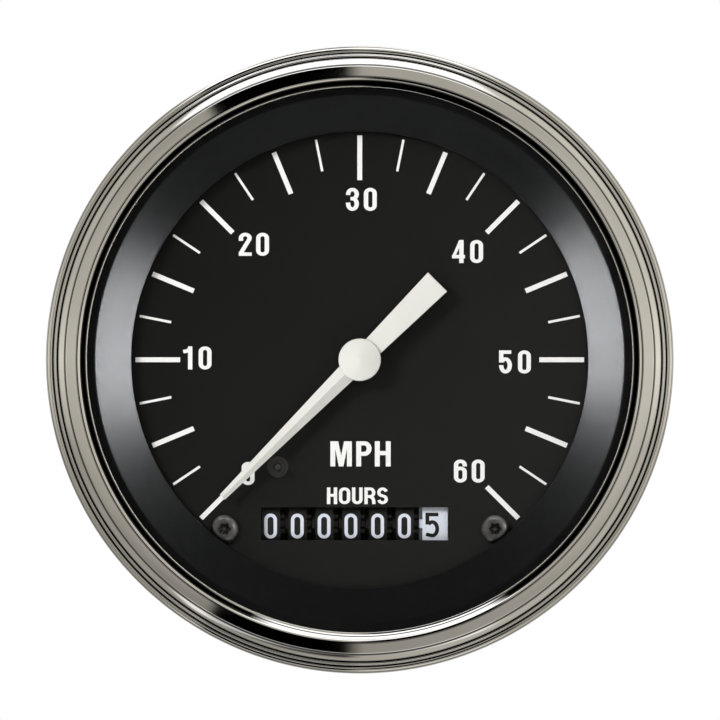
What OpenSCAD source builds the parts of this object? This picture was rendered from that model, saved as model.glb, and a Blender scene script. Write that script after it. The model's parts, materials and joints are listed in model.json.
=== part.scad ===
// Round panel speedometer with an hour counter. A chromed bezel holds the glass on a steel case,
// a coil movement turns the pointer, and a small motor turns seven number drums behind a window.
// Everything is drawn in the dial's frame, in millimetres: x right, y up, z toward the viewer.
// The finished part faces -Y with twelve o'clock along +Z. Its origin is on the axis, where the
// bezel sits on the panel.

/* [Panel fit] */
// Diameter of the hole in the panel
panel_hole_d = 85.7; // [82:0.1:95]
// Gap between the case and the edge of the hole
hole_gap = 0.45; // [0.3:0.05:0.8]
// Thickness of the panel that the clamp grips
panel_t = 3; // [2.4:0.1:5]

/* [Bezel] */
// How far the bezel reaches past the hole
bezel_overhang = 4.4; // [4:0.1:6]
// Thickness of the bezel's sheet
bezel_sheet = 0.7; // [0.5:0.05:0.8]
// Height of the top land above the glass
land_rise = 2.1; // [1.8:0.1:3]
// Width of the outer step
outer_step_w = 1.2; // [1:0.05:1.4]
// Width of the middle step
middle_step_w = 0.7; // [0.6:0.05:0.9]
// Width of the step next to the land
inner_step_w = 0.9; // [0.7:0.05:1.1]
// Drop from the land to the step next to it
land_drop = 1.6; // [1.2:0.05:2]
// Drop from one step to the next
step_drop = 1.2; // [0.9:0.05:1.5]
// Radius of the bead along each step
bead_r = 0.5; // [0.3:0.05:0.55]
// How far the bezel's lip reaches in past the case
lip_reach = 0.55; // [0.3:0.05:1]
// Width of the slope from the land down to the lip
lip_slope_w = 1.7; // [1.5:0.05:2]

/* [Glass] */
// Thickness of the glass
glass_t = 2; // [1.5:0.1:3]
// Thickness of the gasket behind the glass
gasket_t = 0.8; // [0.5:0.1:1.5]
// Gap round the edge of the glass
glass_gap = 0.2; // [0.1:0.05:0.5]

/* [Case] */
// Thickness of the case's sheet
case_sheet = 0.8; // [0.6:0.05:1.2]
// Depth of the case behind the panel's face
case_depth = 54; // [50:1:70]
// Rounding of the case's rear edge
case_corner_r = 3; // [2:0.5:5]
// Width of the case's flange, which the bezel folds round
flange_w = 2.8; // [2.4:0.1:3]

/* [Trim ring] */
// Thickness of the trim ring's sheet
trim_sheet = 0.6; // [0.4:0.05:0.8]
// Opening of the trim ring over the dial
trim_opening_d = 68.9; // [64:0.1:72]
// Width of the flat ledge inside the bezel's lip
ledge_w = 1.1; // [0.8:0.05:1.6]
// Depth of the slope from the ledge to the dial opening
slope_depth = 3.9; // [3:0.1:5]
// Gap between the case's bore and what slides into it
bore_gap = 0.2; // [0.1:0.05:0.4]

/* [Dial] */
// Thickness of the dial plate
dial_t = 0.8; // [0.6:0.1:1.2]
// Depth of the dial below the edge of the trim ring
dial_drop = 1.7; // [1.5:0.1:3]
// Thickness of the printed marks
mark_t = 0.1; // [0.05:0.05:0.2]
// Angle of the scale from its first mark to its last
scale_sweep = 270; // [240:5:290]
// Radius of the scale's outer end
scale_r = 33.85; // [32:0.05:34]
// Length of a long mark
long_mark_l = 6.75; // [5:0.05:8]
// Width of a long mark
long_mark_w = 0.74; // [0.5:0.02:1]
// Length of a short mark
short_mark_l = 4.85; // [3:0.05:6]
// Width of a short mark
short_mark_w = 0.37; // [0.2:0.01:0.6]
// Height of the counter's window
window_h = 4.97; // [4.5:0.05:6]
// Height of the window's centre below the dial's centre
window_drop = 24.75; // [24:0.05:25.5]
// Shift of the window to the left of the dial's centre
window_shift = 0.75; // [0:0.05:1.5]
// Distance of each dial screw from the vertical centre line
screw_x = 20.44; // [20:0.02:21]
// Distance of each dial screw below the horizontal centre line
screw_drop = 25.54; // [24:0.02:26]
// Radius of a dial screw's head
screw_head_r = 2.1; // [1.8:0.05:2.4]
// Height of a dial screw's head
screw_head_h = 1.3; // [1:0.05:1.4]

/* [Pointer] */
// Length of the pointer from its axis to its tip
pointer_l = 29.3; // [26:0.1:31]
// Length of the tail from the axis to its end
tail_l = 16.6; // [12:0.1:18]
// Width of the pointer where it leaves the cap
pointer_root_w = 2.88; // [2.4:0.02:3.4]
// Width of the pointer's tip
pointer_tip_w = 1.07; // [0.8:0.01:1.4]
// Width of the tail at its end
tail_end_w = 3.83; // [3:0.01:4.5]
// Thickness of the pointer
pointer_t = 0.8; // [0.6:0.1:1.2]
// Height of the pointer above the dial
pointer_lift = 2.8; // [2.2:0.1:3.4]
// Radius of the cap on the pointer
cap_r = 3.2; // [2.8:0.05:4]
// Height of the cap
cap_h = 1.5; // [1.2:0.1:2]
// Radius of the spindle
spindle_r = 0.75; // [0.6:0.05:0.9]
// Distance of the stop pin from the pointer's axis
stop_dist = 20.36; // [19:0.02:23]
// Angle of the stop pin before the scale's first mark
stop_angle = 7.66; // [6:0.02:12]
// Radius of the stop pin
stop_pin_r = 0.5; // [0.4:0.05:0.7]
// Radius of the stop pin's collar on the dial
stop_collar_r = 1.6; // [1.2:0.1:2]

/* [Movement] */
// Radius of the rotor magnet
rotor_r = 6; // [5:0.1:6.4]
// Length of the rotor magnet
rotor_l = 5; // [4:0.1:6]
// Gap round the rotor magnet
rotor_gap = 0.45; // [0.3:0.05:0.6]
// Thickness of the bobbin beyond the rotor's chamber
bobbin_end_t = 2.6; // [2:0.1:3.5]
// Half the width of the square bobbin
bobbin_half_w = 7.5; // [7.2:0.1:9]
// Width of one winding
coil_w = 3.5; // [2.5:0.1:4]
// Thickness of one winding
coil_t = 1.5; // [1:0.1:1.8]
// Gap left for the spindle between two windings
coil_gap = 3.8; // [3.6:0.1:4.4]
// Radius of a foot of the bobbin
foot_r = 1.7; // [1.5:0.05:2]
// Thickness of the screening can
can_sheet = 0.8; // [0.5:0.1:1.2]

/* [Counter] */
// Radius of the number drums
drum_r = 8; // [7.5:0.1:8.4]
// Distance from one drum to the next
drum_pitch = 4.04; // [3.9:0.02:4.5]
// Width of the band that carries the numbers
band_w = 2.74; // [2.5:0.02:3]
// Width of the last drum's band
last_band_w = 3.8; // [3:0.05:4.4]
// Gap between the dial and the drums
drum_gap = 0.4; // [0.3:0.05:0.8]
// Radius of the drum shaft
drum_shaft_r = 1; // [0.8:0.05:1.3]
// Radius of the carry pinions' shaft
pinion_shaft_r = 0.6; // [0.5:0.05:0.7]
// Width of a carry ring on a drum
carry_ring_w = 0.7; // [0.6:0.05:0.8]
// Size of a tooth of the drive gears, as their module
drive_module = 0.4; // [0.36:0.01:0.42]
// Width of a drive gear
drive_w = 0.9; // [0.7:0.05:1.2]
// Thickness of the counter's side plates
side_plate_t = 1; // [0.8:0.1:1.6]
// Radius of the counter's motor
motor_r = 6.5; // [5.5:0.1:7]
// Length of the counter's motor
motor_l = 10.5; // [8:0.1:12]

/* [Chassis and circuit board] */
// Thickness of the chassis plate
chassis_t = 1.2; // [1:0.1:2]
// Radius of a dial post
post_r = 2.4; // [2:0.1:2.6]
// Radius of a small screw's shank
small_shank_r = 1; // [0.9:0.05:1.1]
// Radius of a small screw's head
small_head_r = 1.9; // [1.6:0.05:2.1]
// Height of a small screw's head
small_head_h = 1.3; // [1:0.05:1.6]
// Depth that a small screw goes into its hole
small_grip = 4; // [3:0.1:5]
// Width of the circuit board
board_w = 38; // [37:0.5:38.4]
// Height of the circuit board
board_h = 44; // [43:0.5:46]
// Thickness of the circuit board
board_t = 1.6; // [1:0.1:2]
// Gap between the circuit board and the case's rear wall
board_gap = 8.6; // [7.5:0.1:11]

/* [Rear fittings] */
// Distance of each mounting stud from the axis
stud_x = 24; // [23.5:0.5:26]
// Radius of a mounting stud
stud_r = 2.4; // [2:0.1:2.6]
// Length of a mounting stud behind the case
stud_l = 20; // [18:0.5:30]
// Distance of each lamp from the vertical centre line
lamp_x = 20; // [19:0.5:21]
// Height of each lamp above the horizontal centre line
lamp_y = 24.5; // [23:0.5:25]
// Radius of a lamp socket's barrel
lamp_barrel_r = 6.2; // [5.5:0.1:6.6]
// Radius of a lamp's bulb
bulb_r = 4.6; // [4:0.1:4.8]
// Distance from one terminal to the next
terminal_pitch = 8; // [7.6:0.1:9]
// Distance of the terminals below the horizontal centre line
terminal_drop = 20; // [19:0.5:21]
// Radius of a terminal's threaded shank
terminal_r = 2; // [1.8:0.05:2.1]
// Thickness of the terminal block
block_t = 5; // [4:0.5:7]
// Free length of a terminal behind its nut
terminal_free_l = 6.6; // [5:0.1:12]
// Height of the calibration button above the horizontal centre line
button_y = 12; // [11:0.5:13]
// Radius of the calibration button
button_r = 1.75; // [1.5:0.05:2.2]
// Travel of the calibration button
button_travel = 0.5; // [0.3:0.05:0.8]

/* [Clamp] */
// Width of the clamp's strip
clamp_w = 13; // [10:0.5:14]
// Thickness of the clamp's strip
clamp_t = 1.6; // [1.2:0.1:2.5]
// Inner radius of the clamp's two bends
clamp_bend_r = 2; // [1:0.5:3]
// Gap between the clamp's legs and the case
clamp_gap = 1.6; // [1.2:0.1:2.5]
// Gap between the clamp's bar and the case's rear wall
clamp_set = 3.6; // [3.2:0.1:3.8]
// Radius of a thumb nut
thumb_r = 6; // [5:0.1:7]
// Height of a thumb nut
thumb_h = 7; // [5:0.1:9]

/* [Hidden] */
$fn = 96;

// Clearances: a hole round a fixed piece, and a bore round a shaft that turns in it
fixed_gap = 0.05;
running_gap = 0.04;
// Gap between faces that pass each other
pass_gap = 0.1;
// How far a cutting shape runs past what it cuts
past = 0.5;
// Clear room kept between a moving piece and its housing
room = 0.4;
// A cut edge's small chamfer
edge_chamfer = 0.2;

// Radii from the panel's hole
case_r = panel_hole_d / 2 - hole_gap;
case_in_r = case_r - case_sheet;
bezel_r = panel_hole_d / 2 + bezel_overhang;
lip_r = case_in_r - lip_reach;
land_in_r = lip_r + lip_slope_w;
inner_step_r = bezel_r - outer_step_w - middle_step_w;
land_out_r = inner_step_r - inner_step_w;
flange_r = case_r + flange_w;
hem_in_r = case_r + bezel_sheet + fixed_gap * 5;
bore_r = case_in_r - bore_gap;

// Heights through the front, from the panel's face
flange_back_z = bezel_sheet;
flange_front_z = flange_back_z + case_sheet;
trim_front_z = flange_front_z + trim_sheet;
glass_back_z = trim_front_z + gasket_t;
glass_front_z = glass_back_z + glass_t;
land_z = glass_front_z + land_rise;
trim_edge_t = 0.5;
dial_front_z = trim_front_z - slope_depth - trim_edge_t - dial_drop;
dial_back_z = dial_front_z - dial_t;

// Heights of the bezel's steps, outer one first, and its inside face
step_r = [bezel_r, bezel_r - outer_step_w, inner_step_r];
step_z = [land_z - land_drop - 2 * step_drop, land_z - land_drop - step_drop, land_z - land_drop];
sheet_in_r = bezel_sheet * 1.2;
sheet_in_z = bezel_sheet * 1.45;
glass_r = land_out_r - sheet_in_r - glass_gap;

// Pointer
first_angle = 90 + scale_sweep / 2;
mark_count = 24;
blade_back_z = dial_front_z + pointer_lift;
blade_front_z = blade_back_z + pointer_t;
bush_r = 1.7;
bush_neck_r = 1.2;
bush_l = 1.6;

// Movement, from the chassis forward
chamber_r = rotor_r + rotor_gap;
chamber_half_h = rotor_l / 2 + rotor_gap;
bobbin_half_h = chamber_half_h + bobbin_end_t;
sine_half_h = bobbin_half_h + fixed_gap + coil_t;
cosine_half_h = sine_half_h + fixed_gap * 2 + coil_t;
coil_reach = coil_gap / 2 + coil_w;
foot_xy = max(coil_reach + foot_r + fixed_gap, bobbin_half_w - fixed_gap * 7);
can_in_r = foot_xy * sqrt(2) + foot_r + bore_gap;
can_r = can_in_r + can_sheet;
spindle_bush_r = 1.6;
pin_r = 0.3;
pin_step = 0.6;

// Counter: carry rings of 20 teeth drive pinions of 8, and 12-tooth pinions drive wheels of 30
carry_ring_teeth = 20;
carry_pinion_teeth = 8;
drive_pinion_teeth = 12;
drive_wheel_teeth = 30;
pressure_angle = 20;
carry_module = drum_r / 12;
carry_dist = carry_module * (carry_ring_teeth + carry_pinion_teeth) / 2;
carry_direction = 225;
drive_dist = drive_module * (drive_wheel_teeth + drive_pinion_teeth) / 2;
carry_w = carry_ring_w - 0.25;
lug_w = drum_pitch - band_w - carry_ring_w - pass_gap;
whole_drums = 6;
window_w = whole_drums * drum_pitch + last_band_w + 2 * pass_gap;
first_band_x = -window_shift - window_w / 2 + pass_gap;
last_band_x = first_band_x + whole_drums * drum_pitch;
counter_y = -window_drop;
counter_z = dial_back_z - drum_gap - drum_r;
pinion_y = counter_y + carry_dist * cos(carry_direction);
pinion_z = counter_z + carry_dist * sin(carry_direction);
carry_tip_r = carry_module * (carry_pinion_teeth / 2 + 0.75);
drive_a_x = last_band_x + last_band_w;
drive_b_x = drive_a_x + drive_w + 2 * pass_gap;
idler_y = counter_y + drive_dist;
motor_y = idler_y + drive_dist;
idler_arbor_r = 0.8;
motor_arbor_r = 0.6;
motor_nose_r = 2;
left_plate_x = first_band_x - room - side_plate_t;
right_plate_x = drive_b_x + drive_w + room;
frame_low_y = pinion_y - carry_tip_r - 3 * room;
frame_web_w = 8;

// Chassis, far enough back for both the movement and the counter
movement_h = can_sheet + 2 * cosine_half_h + 2 * fixed_gap;
counter_h = dial_back_z - (pinion_z - carry_tip_r) + 2 * room + side_plate_t;
post_l = max(movement_h, counter_h) + 3 * room;
chassis_front_z = dial_back_z - post_l;
chassis_back_z = chassis_front_z - chassis_t;
rotor_z = chassis_front_z + can_sheet + fixed_gap + cosine_half_h;
chassis_r = case_in_r - room;
frame_screw_x = min(-left_plate_x, right_plate_x) - small_head_r;
frame_screw_y = frame_low_y + frame_web_w / 2;

// Circuit board and rear wall
floor_z = case_sheet - case_depth;
rear_z = -case_depth;
board_back_z = floor_z + board_gap;
board_front_z = board_back_z + board_t;
board_under_terminals = 7;
board_low_y = -terminal_drop - board_under_terminals;
standoff_r = 2.2;
standoff_edge = 0.8;
standoff_above_terminals = 7.5;
standoff_below_top = 5.5;
standoff_x = board_w / 2 - standoff_r - standoff_edge;
standoff_ys = [-terminal_drop + standoff_above_terminals, board_low_y + board_h - standoff_below_top];
lead_r = 0.4;
lead_from_plate = 1.5;
lead_x = right_plate_x + side_plate_t + lead_from_plate;
lead_half_gap = motor_r / 4;

// Fittings on the rear wall
terminal_count = 4;
terminal_leg_r = terminal_r + 1;
terminal_nut_r = terminal_r * 1.8;
terminal_nut_h = 2.4;
block_half_h = 5;
switch_half_w = 3;
switch_h = 3.5;
button_in = 0.8;
button_proud = 1.2;
lamp_flange_r = lamp_barrel_r + 1;
lamp_barrel_l = 13;
lamp_wall = 1.3;
lamp_flange_t = 1.5;
bulb_l = 16;
stud_nut_h = 3;
stud_head_h = 2;
stud_hex_r = stud_r * 1.85;
spacer_r = stud_r + 1.6;

// Clamp, its bar behind the rear wall and its feet on the panel's back
clamp_bar_z = rear_z - clamp_set;
clamp_leg_x = case_r + clamp_gap;
washer_t = 1;
washer_r = stud_r * 2.2;

// Basic shapes

function polar(r, a) = [r * cos(a), r * sin(a)];

// Points of an arc round a centre, from one angle to another
function arc(centre, r, from, to, steps = 6) =
    [for (i = [0 : steps]) centre + polar(r, from + (to - from) * i / steps)];

module upright() {
    rotate([90, 0, 0]) children();
}

// A turned piece from its half section of radius and height
module turned(points) {
    rotate_extrude() polygon(points);
}

module disc(r, z0, z1) {
    translate([0, 0, z0]) cylinder(r = r, h = z1 - z0);
}

module disc_at(x, y, r, z0, z1) {
    translate([x, y, 0]) disc(r, z0, z1);
}

module hex_at(x, y, r, z0, z1) {
    translate([x, y, z0]) cylinder(r = r, h = z1 - z0, $fn = 6);
}

// A tube with its bore run past both ends
module tube_at(x, y, r, bore, z0, z1) {
    difference() {
        disc_at(x, y, r, z0, z1);
        disc_at(x, y, bore, z0 - past, z1 + past);
    }
}

// Lays a shape drawn flat along the counter's shafts: its x goes up and its y to the front
module along_x(x, y, z) {
    translate([x, y, z]) rotate([90, 0, 90]) children();
}

module rod_x(x0, x1, y, z, r) {
    along_x(x0, y, z) cylinder(r = r, h = x1 - x0);
}

// A screw with a round head, pointing up from the underside of its head
module small_screw(x, y, z) {
    disc_at(x, y, small_head_r, z - small_head_h, z);
    disc_at(x, y, small_shank_r, z, z + chassis_t + small_grip);
}

// The blind hole that a small screw goes into, from the face that it enters
module small_hole(x, y, z0, z1) {
    disc_at(x, y, small_shank_r + fixed_gap, z0, z1);
}

// Gear teeth with involute flanks

function involute(a) = tan(a) * 180 / PI - a;

// Half the angle of a tooth at a radius. Thin is the share of the pitch that the tooth fills.
function tooth_half(teeth, base_r, r, thin) =
    90 / teeth * thin + involute(pressure_angle) - involute(acos(min(1, base_r / r)));

function gear_outline(teeth, size, addendum, dedendum, thin, turn) =
    let (pitch_r = teeth * size / 2,
        base_r = pitch_r * cos(pressure_angle),
        tip_r = pitch_r + addendum * size,
        root_r = pitch_r - dedendum * size,
        flank_r = max(base_r, root_r),
        flank = [for (i = [0 : 3]) flank_r + (tip_r - flank_r) * i / 3],
        root_half = tooth_half(teeth, base_r, flank_r, thin))
    [for (tooth = [0 : teeth - 1])
        let (a = turn + 360 * tooth / teeth)
        each concat(
            [polar(root_r, a - root_half * 1.05)],
            [for (r = flank) polar(r, a - tooth_half(teeth, base_r, r, thin))],
            [for (i = [3 : -1 : 0]) polar(flank[i], a + tooth_half(teeth, base_r, flank[i], thin))],
            [polar(root_r, a + root_half * 1.05)])];

module carry_ring() {
    polygon(gear_outline(carry_ring_teeth, carry_module, 0.6, 1, 0.8, carry_direction));
}

// A gap of the pinion faces the tooth of its ring
module carry_pinion_shape() {
    gap_turn = carry_direction + 180 + 180 / carry_pinion_teeth;
    polygon(gear_outline(carry_pinion_teeth, carry_module, 0.75, 0.9, 0.8, gap_turn));
}

module drive_wheel_shape() {
    polygon(gear_outline(drive_wheel_teeth, drive_module, 0.9, 1.2, 0.86, 0));
}

module drive_pinion_shape() {
    gap_turn = 180 + 180 / drive_pinion_teeth;
    polygon(gear_outline(drive_pinion_teeth, drive_module, 0.9, 1.2, 0.86, gap_turn));
}

// Front: bezel, glass and trim ring

// One step of the bezel, from its upright face over the bead to the next step's foot
function bezel_step(i) = arc([step_r[i] - bead_r, step_z[i] - bead_r], bead_r, 0, 90);

module bezel() {
    roll_r = 0.6;
    lip_edge = 0.2;
    hem_r = bezel_sheet * 0.9;
    inside = [for (i = [0 : 2]) [step_r[i] - sheet_in_r, step_z[i] - sheet_in_z]];
    color("gainsboro") turned(concat(
        [[hem_in_r, 0]],
        arc([bezel_r - hem_r, hem_r], hem_r, -90, 0),
        bezel_step(0),
        [[step_r[1], step_z[0]]],
        bezel_step(1),
        [[step_r[2], step_z[1]]],
        bezel_step(2),
        [[land_out_r, step_z[2]]],
        arc([land_out_r - bead_r, land_z - bead_r], bead_r, 0, 90),
        arc([land_in_r, land_z - roll_r], roll_r, 90, 160),
        arc([lip_r + lip_edge, glass_front_z + 2 * lip_edge], lip_edge, 150, 180, 3),
        [[lip_r, glass_front_z + lip_edge],
            [lip_r + lip_edge, glass_front_z],
            [lip_r + lip_edge + bezel_sheet * 0.8, glass_front_z],
            [land_in_r + bezel_sheet * 0.2, land_z - sheet_in_z],
            [land_out_r - sheet_in_r, land_z - sheet_in_z],
            inside[2], inside[1], inside[0],
            [bezel_r - sheet_in_r, flange_back_z],
            [hem_in_r, flange_back_z]]));
}

module glass() {
    color("lightcyan", 0.3) turned([[0, glass_back_z], [glass_r - edge_chamfer, glass_back_z],
        [glass_r, glass_back_z + edge_chamfer], [glass_r, glass_front_z - edge_chamfer],
        [glass_r - edge_chamfer, glass_front_z], [0, glass_front_z]]);
}

module glass_gasket() {
    inner_r = lip_r + 0.9;
    color("dimgray") tube_at(0, 0, glass_r, inner_r, trim_front_z, glass_back_z);
}

module trim_ring() {
    open_r = trim_opening_d / 2;
    ledge_r = lip_r - ledge_w;
    edge_z = trim_front_z - slope_depth;
    slope_angle = atan2(slope_depth, ledge_r - open_r);
    round_r = 1;
    round_x = ledge_r + round_r * tan(slope_angle / 2);
    back_off = 0.35;
    color([0.06, 0.06, 0.07]) turned(concat(
        [[glass_r, flange_front_z], [glass_r, trim_front_z]],
        arc([round_x, trim_front_z - round_r], round_r, 90, 90 + slope_angle),
        [[open_r, edge_z],
            [open_r, edge_z - trim_edge_t],
            [ledge_r - back_off, flange_front_z - fixed_gap * 2],
            [bore_r - trim_sheet, flange_front_z - fixed_gap * 2],
            [bore_r - trim_sheet, dial_front_z],
            [bore_r, dial_front_z],
            [bore_r, flange_front_z]]));
}

// Case: a drawn can with a flange at the front and holes for the fittings in its rear wall

module case() {
    inner_corner = case_corner_r - case_sheet;
    color("silver") difference() {
        turned(concat(
            [[0, rear_z]],
            arc([case_r - case_corner_r, rear_z + case_corner_r], case_corner_r, -90, 0),
            [[case_r, 0],
                [case_r + bezel_sheet, flange_back_z],
                [flange_r, flange_back_z],
                [flange_r, flange_front_z],
                [case_in_r, flange_front_z]],
            arc([case_in_r - inner_corner, floor_z + inner_corner], inner_corner, 0, -90),
            [[0, floor_z]]));
        for (s = [-1, 1]) {
            rear_hole(s * stud_x, 0, stud_r + fixed_gap * 4);
            rear_hole(s * lamp_x, lamp_y, lamp_barrel_r + fixed_gap * 2);
        }
        for (i = [0 : terminal_count - 1])
            rear_hole(terminal_x(i), -terminal_drop, terminal_leg_r + fixed_gap * 2);
        rear_hole(0, button_y, button_r + room);
    }
}

module rear_hole(x, y, r) {
    disc_at(x, y, r, rear_z - past, floor_z + past);
}

// Dial with its marks, screws, posts and stop pin

module dial_plate() {
    color([0.05, 0.05, 0.05]) difference() {
        disc(bore_r, dial_back_z, dial_front_z);
        disc(bush_r, dial_back_z - past, dial_front_z + past);
        translate([-window_shift - window_w / 2, -window_drop - window_h / 2, dial_back_z - past])
            cube([window_w, window_h, dial_t + 2 * past]);
        rotate(first_angle + stop_angle) translate([stop_dist, 0, 0])
            disc(stop_pin_r + fixed_gap, dial_back_z - past, dial_front_z + past);
        for (s = [-1, 1])
            small_hole(s * screw_x, -screw_drop, dial_back_z - past, dial_front_z + past);
    }
}

module dial_marks() {
    color("white") for (i = [0 : mark_count]) {
        long = i % 2 == 0;
        mark_l = long ? long_mark_l : short_mark_l;
        mark_w = long ? long_mark_w : short_mark_w;
        rotate(first_angle - scale_sweep * i / mark_count)
            translate([scale_r - mark_l, -mark_w / 2, dial_front_z])
                cube([mark_l, mark_w, mark_t]);
    }
}

module dial_screws() {
    socket_r = screw_head_r * 0.42;
    socket_depth = screw_head_h * 0.55;
    round_r = screw_head_r * 0.4;
    head_z = dial_front_z + screw_head_h;
    color("gray") for (s = [-1, 1]) {
        difference() {
            translate([s * screw_x, -screw_drop, dial_front_z]) turned(concat(
                [[0, 0], [screw_head_r, 0]],
                arc([screw_head_r - round_r, screw_head_h - round_r], round_r, 0, 90),
                [[0, screw_head_h]]));
            disc_at(s * screw_x, -screw_drop, socket_r, head_z - socket_depth, head_z + past);
        }
        disc_at(s * screw_x, -screw_drop, small_shank_r, dial_front_z - dial_t - small_grip, dial_front_z);
    }
}

module dial_posts() {
    hole_l = small_grip + room;
    color("goldenrod") for (s = [-1, 1]) difference() {
        disc_at(s * screw_x, -screw_drop, post_r, chassis_front_z, dial_back_z);
        small_hole(s * screw_x, -screw_drop, dial_back_z - hole_l, dial_back_z + past);
        small_hole(s * screw_x, -screw_drop, chassis_front_z - past, chassis_front_z + hole_l);
    }
}

module stop_pin() {
    collar_t = 0.2;
    color([0.12, 0.12, 0.12]) rotate(first_angle + stop_angle) translate([stop_dist, 0, 0]) {
        disc(stop_pin_r, dial_back_z - room, blade_front_z + fixed_gap);
        disc(stop_collar_r, dial_front_z, dial_front_z + collar_t);
    }
}

// Pointer: blade, cap and bush on the spindle, with the rotor magnet at its other end

module pointer_blade() {
    color("ivory") rotate(first_angle) difference() {
        translate([0, 0, blade_back_z]) linear_extrude(pointer_t) {
            polygon([[0, -pointer_root_w / 2], [cap_r, -pointer_root_w / 2], [pointer_l, -pointer_tip_w / 2],
                [pointer_l, pointer_tip_w / 2], [cap_r, pointer_root_w / 2], [0, pointer_root_w / 2],
                [-tail_l, tail_end_w / 2], [-tail_l, -tail_end_w / 2]]);
            circle(r = cap_r * 0.9);
        }
        disc(bush_neck_r + fixed_gap / 2, blade_back_z - past, blade_front_z + past);
    }
}

module pointer_cap() {
    side_h = cap_h * 0.5;
    color("ivory") translate([0, 0, blade_front_z]) turned([[0, 0], [cap_r, 0], [cap_r, side_h],
        [cap_r - edge_chamfer, side_h + edge_chamfer], [0, cap_h]]);
}

module pointer_bush() {
    color("goldenrod") difference() {
        union() {
            disc(bush_r, blade_back_z - bush_l, blade_back_z);
            disc(bush_neck_r, blade_back_z, blade_front_z);
        }
        disc(spindle_r + fixed_gap / 5, blade_back_z - bush_l - past, blade_front_z + past);
    }
}

module spindle() {
    color("lightsteelblue") disc(spindle_r, rotor_z - bobbin_half_h + fixed_gap, blade_front_z);
}

module rotor_magnet() {
    color("dimgray") difference() {
        disc(rotor_r, rotor_z - rotor_l / 2, rotor_z + rotor_l / 2);
        disc(spindle_r + fixed_gap / 5, rotor_z - rotor_l, rotor_z + rotor_l);
    }
}

// Movement: two bobbin halves round the rotor, crossed windings and a screening can

// Half a bobbin, its open chamber along +z from the middle plane
module bobbin_half() {
    difference() {
        translate([-bobbin_half_w, -bobbin_half_w, 0])
            cube([2 * bobbin_half_w, 2 * bobbin_half_w, bobbin_half_h]);
        disc(chamber_r, -past, chamber_half_h);
        disc(spindle_bush_r + fixed_gap / 5, 0, bobbin_half_h + past);
    }
}

module bobbin_front() {
    color("wheat") translate([0, 0, rotor_z]) bobbin_half();
}

module bobbin_rear() {
    foot_low_z = rotor_z - cosine_half_h - fixed_gap;
    foot_high_z = rotor_z - chamber_half_h;
    color("wheat") difference() {
        union() {
            translate([0, 0, rotor_z]) mirror([0, 0, 1]) bobbin_half();
            for (x = [-1, 1], y = [-1, 1])
                disc_at(x * foot_xy, y * foot_xy, foot_r, foot_low_z, foot_high_z);
        }
        for (s = [-1, 1]) {
            small_hole(s * foot_xy, -s * foot_xy, foot_low_z - past, foot_low_z + small_grip);
            for (t = [-1, 1])
                disc_at(s * foot_xy + t * pin_step, s * foot_xy - t * pin_step, pin_r + fixed_gap / 2,
                    foot_low_z - past, foot_low_z + small_grip / 2);
        }
    }
}

// Two windings side by side round the bobbin, seen along their common axis
module winding_pair(inner_half_w, inner_half_h) {
    outer_half_w = inner_half_w + coil_t;
    outer_half_h = inner_half_h + coil_t;
    for (s = [-1, 1])
        translate([0, s * (coil_gap + coil_w) / 2, rotor_z]) difference() {
            cube([2 * outer_half_w, coil_w, 2 * outer_half_h], center = true);
            cube([2 * inner_half_w, coil_w + 2 * past, 2 * inner_half_h], center = true);
        }
}

module sine_coil() {
    color("chocolate") winding_pair(bobbin_half_w + fixed_gap, bobbin_half_h + fixed_gap);
}

module cosine_coil() {
    color("peru") rotate(90) winding_pair(bobbin_half_w + fixed_gap, sine_half_h + 2 * fixed_gap);
}

module spindle_bushes() {
    color("goldenrod") for (s = [-1, 1])
        tube_at(0, 0, spindle_bush_r, spindle_r + running_gap,
            rotor_z + min(s * chamber_half_h, s * bobbin_half_h),
            rotor_z + max(s * chamber_half_h, s * bobbin_half_h));
}

module screening_can() {
    can_front_z = rotor_z + cosine_half_h;
    hole_low_z = chassis_front_z - past;
    hole_high_z = chassis_front_z + can_sheet + past;
    color("lightgray") difference() {
        disc(can_r, chassis_front_z, can_front_z);
        disc(can_in_r, chassis_front_z + can_sheet, can_front_z + past);
        for (s = [-1, 1]) {
            small_hole(s * foot_xy, -s * foot_xy, hole_low_z, hole_high_z);
            disc_at(s * foot_xy, s * foot_xy, foot_r * 0.8, hole_low_z, hole_high_z);
        }
    }
}

module coil_pins() {
    pin_top_z = rotor_z - cosine_half_h - fixed_gap + small_grip / 2;
    color("gold") for (s = [-1, 1], t = [-1, 1])
        disc_at(s * foot_xy + t * pin_step, s * foot_xy - t * pin_step, pin_r,
            board_back_z - 2 * room, pin_top_z);
}

// Chassis plate and the ten like screws that hold posts, counter, movement and board

module chassis_plate() {
    color("lightgray") difference() {
        disc(chassis_r, chassis_back_z, chassis_front_z);
        for (s = [-1, 1]) {
            chassis_hole(s * stud_x, 0, stud_r + fixed_gap * 2);
            chassis_hole(s * lamp_x, lamp_y, lamp_barrel_r + room);
            chassis_hole(s * screw_x, -screw_drop, small_shank_r + fixed_gap);
            chassis_hole(s * frame_screw_x, frame_screw_y, small_shank_r + fixed_gap);
            chassis_hole(s * foot_xy, -s * foot_xy, small_shank_r + fixed_gap);
            chassis_hole(s * foot_xy, s * foot_xy, foot_r * 0.8);
            chassis_hole(lead_x, motor_y + s * lead_half_gap, 2 * lead_r);
            for (y = standoff_ys) chassis_hole(s * standoff_x, y, standoff_r * 0.65 + fixed_gap);
        }
    }
}

module chassis_hole(x, y, r) {
    disc_at(x, y, r, chassis_back_z - past, chassis_front_z + past);
}

module chassis_screws() {
    color("gray") for (s = [-1, 1]) {
        small_screw(s * screw_x, -screw_drop, chassis_back_z);
        small_screw(s * frame_screw_x, frame_screw_y, chassis_back_z);
        small_screw(s * foot_xy, -s * foot_xy, chassis_back_z);
        for (y = standoff_ys) small_screw(s * standoff_x, y, board_back_z);
    }
}

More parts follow.
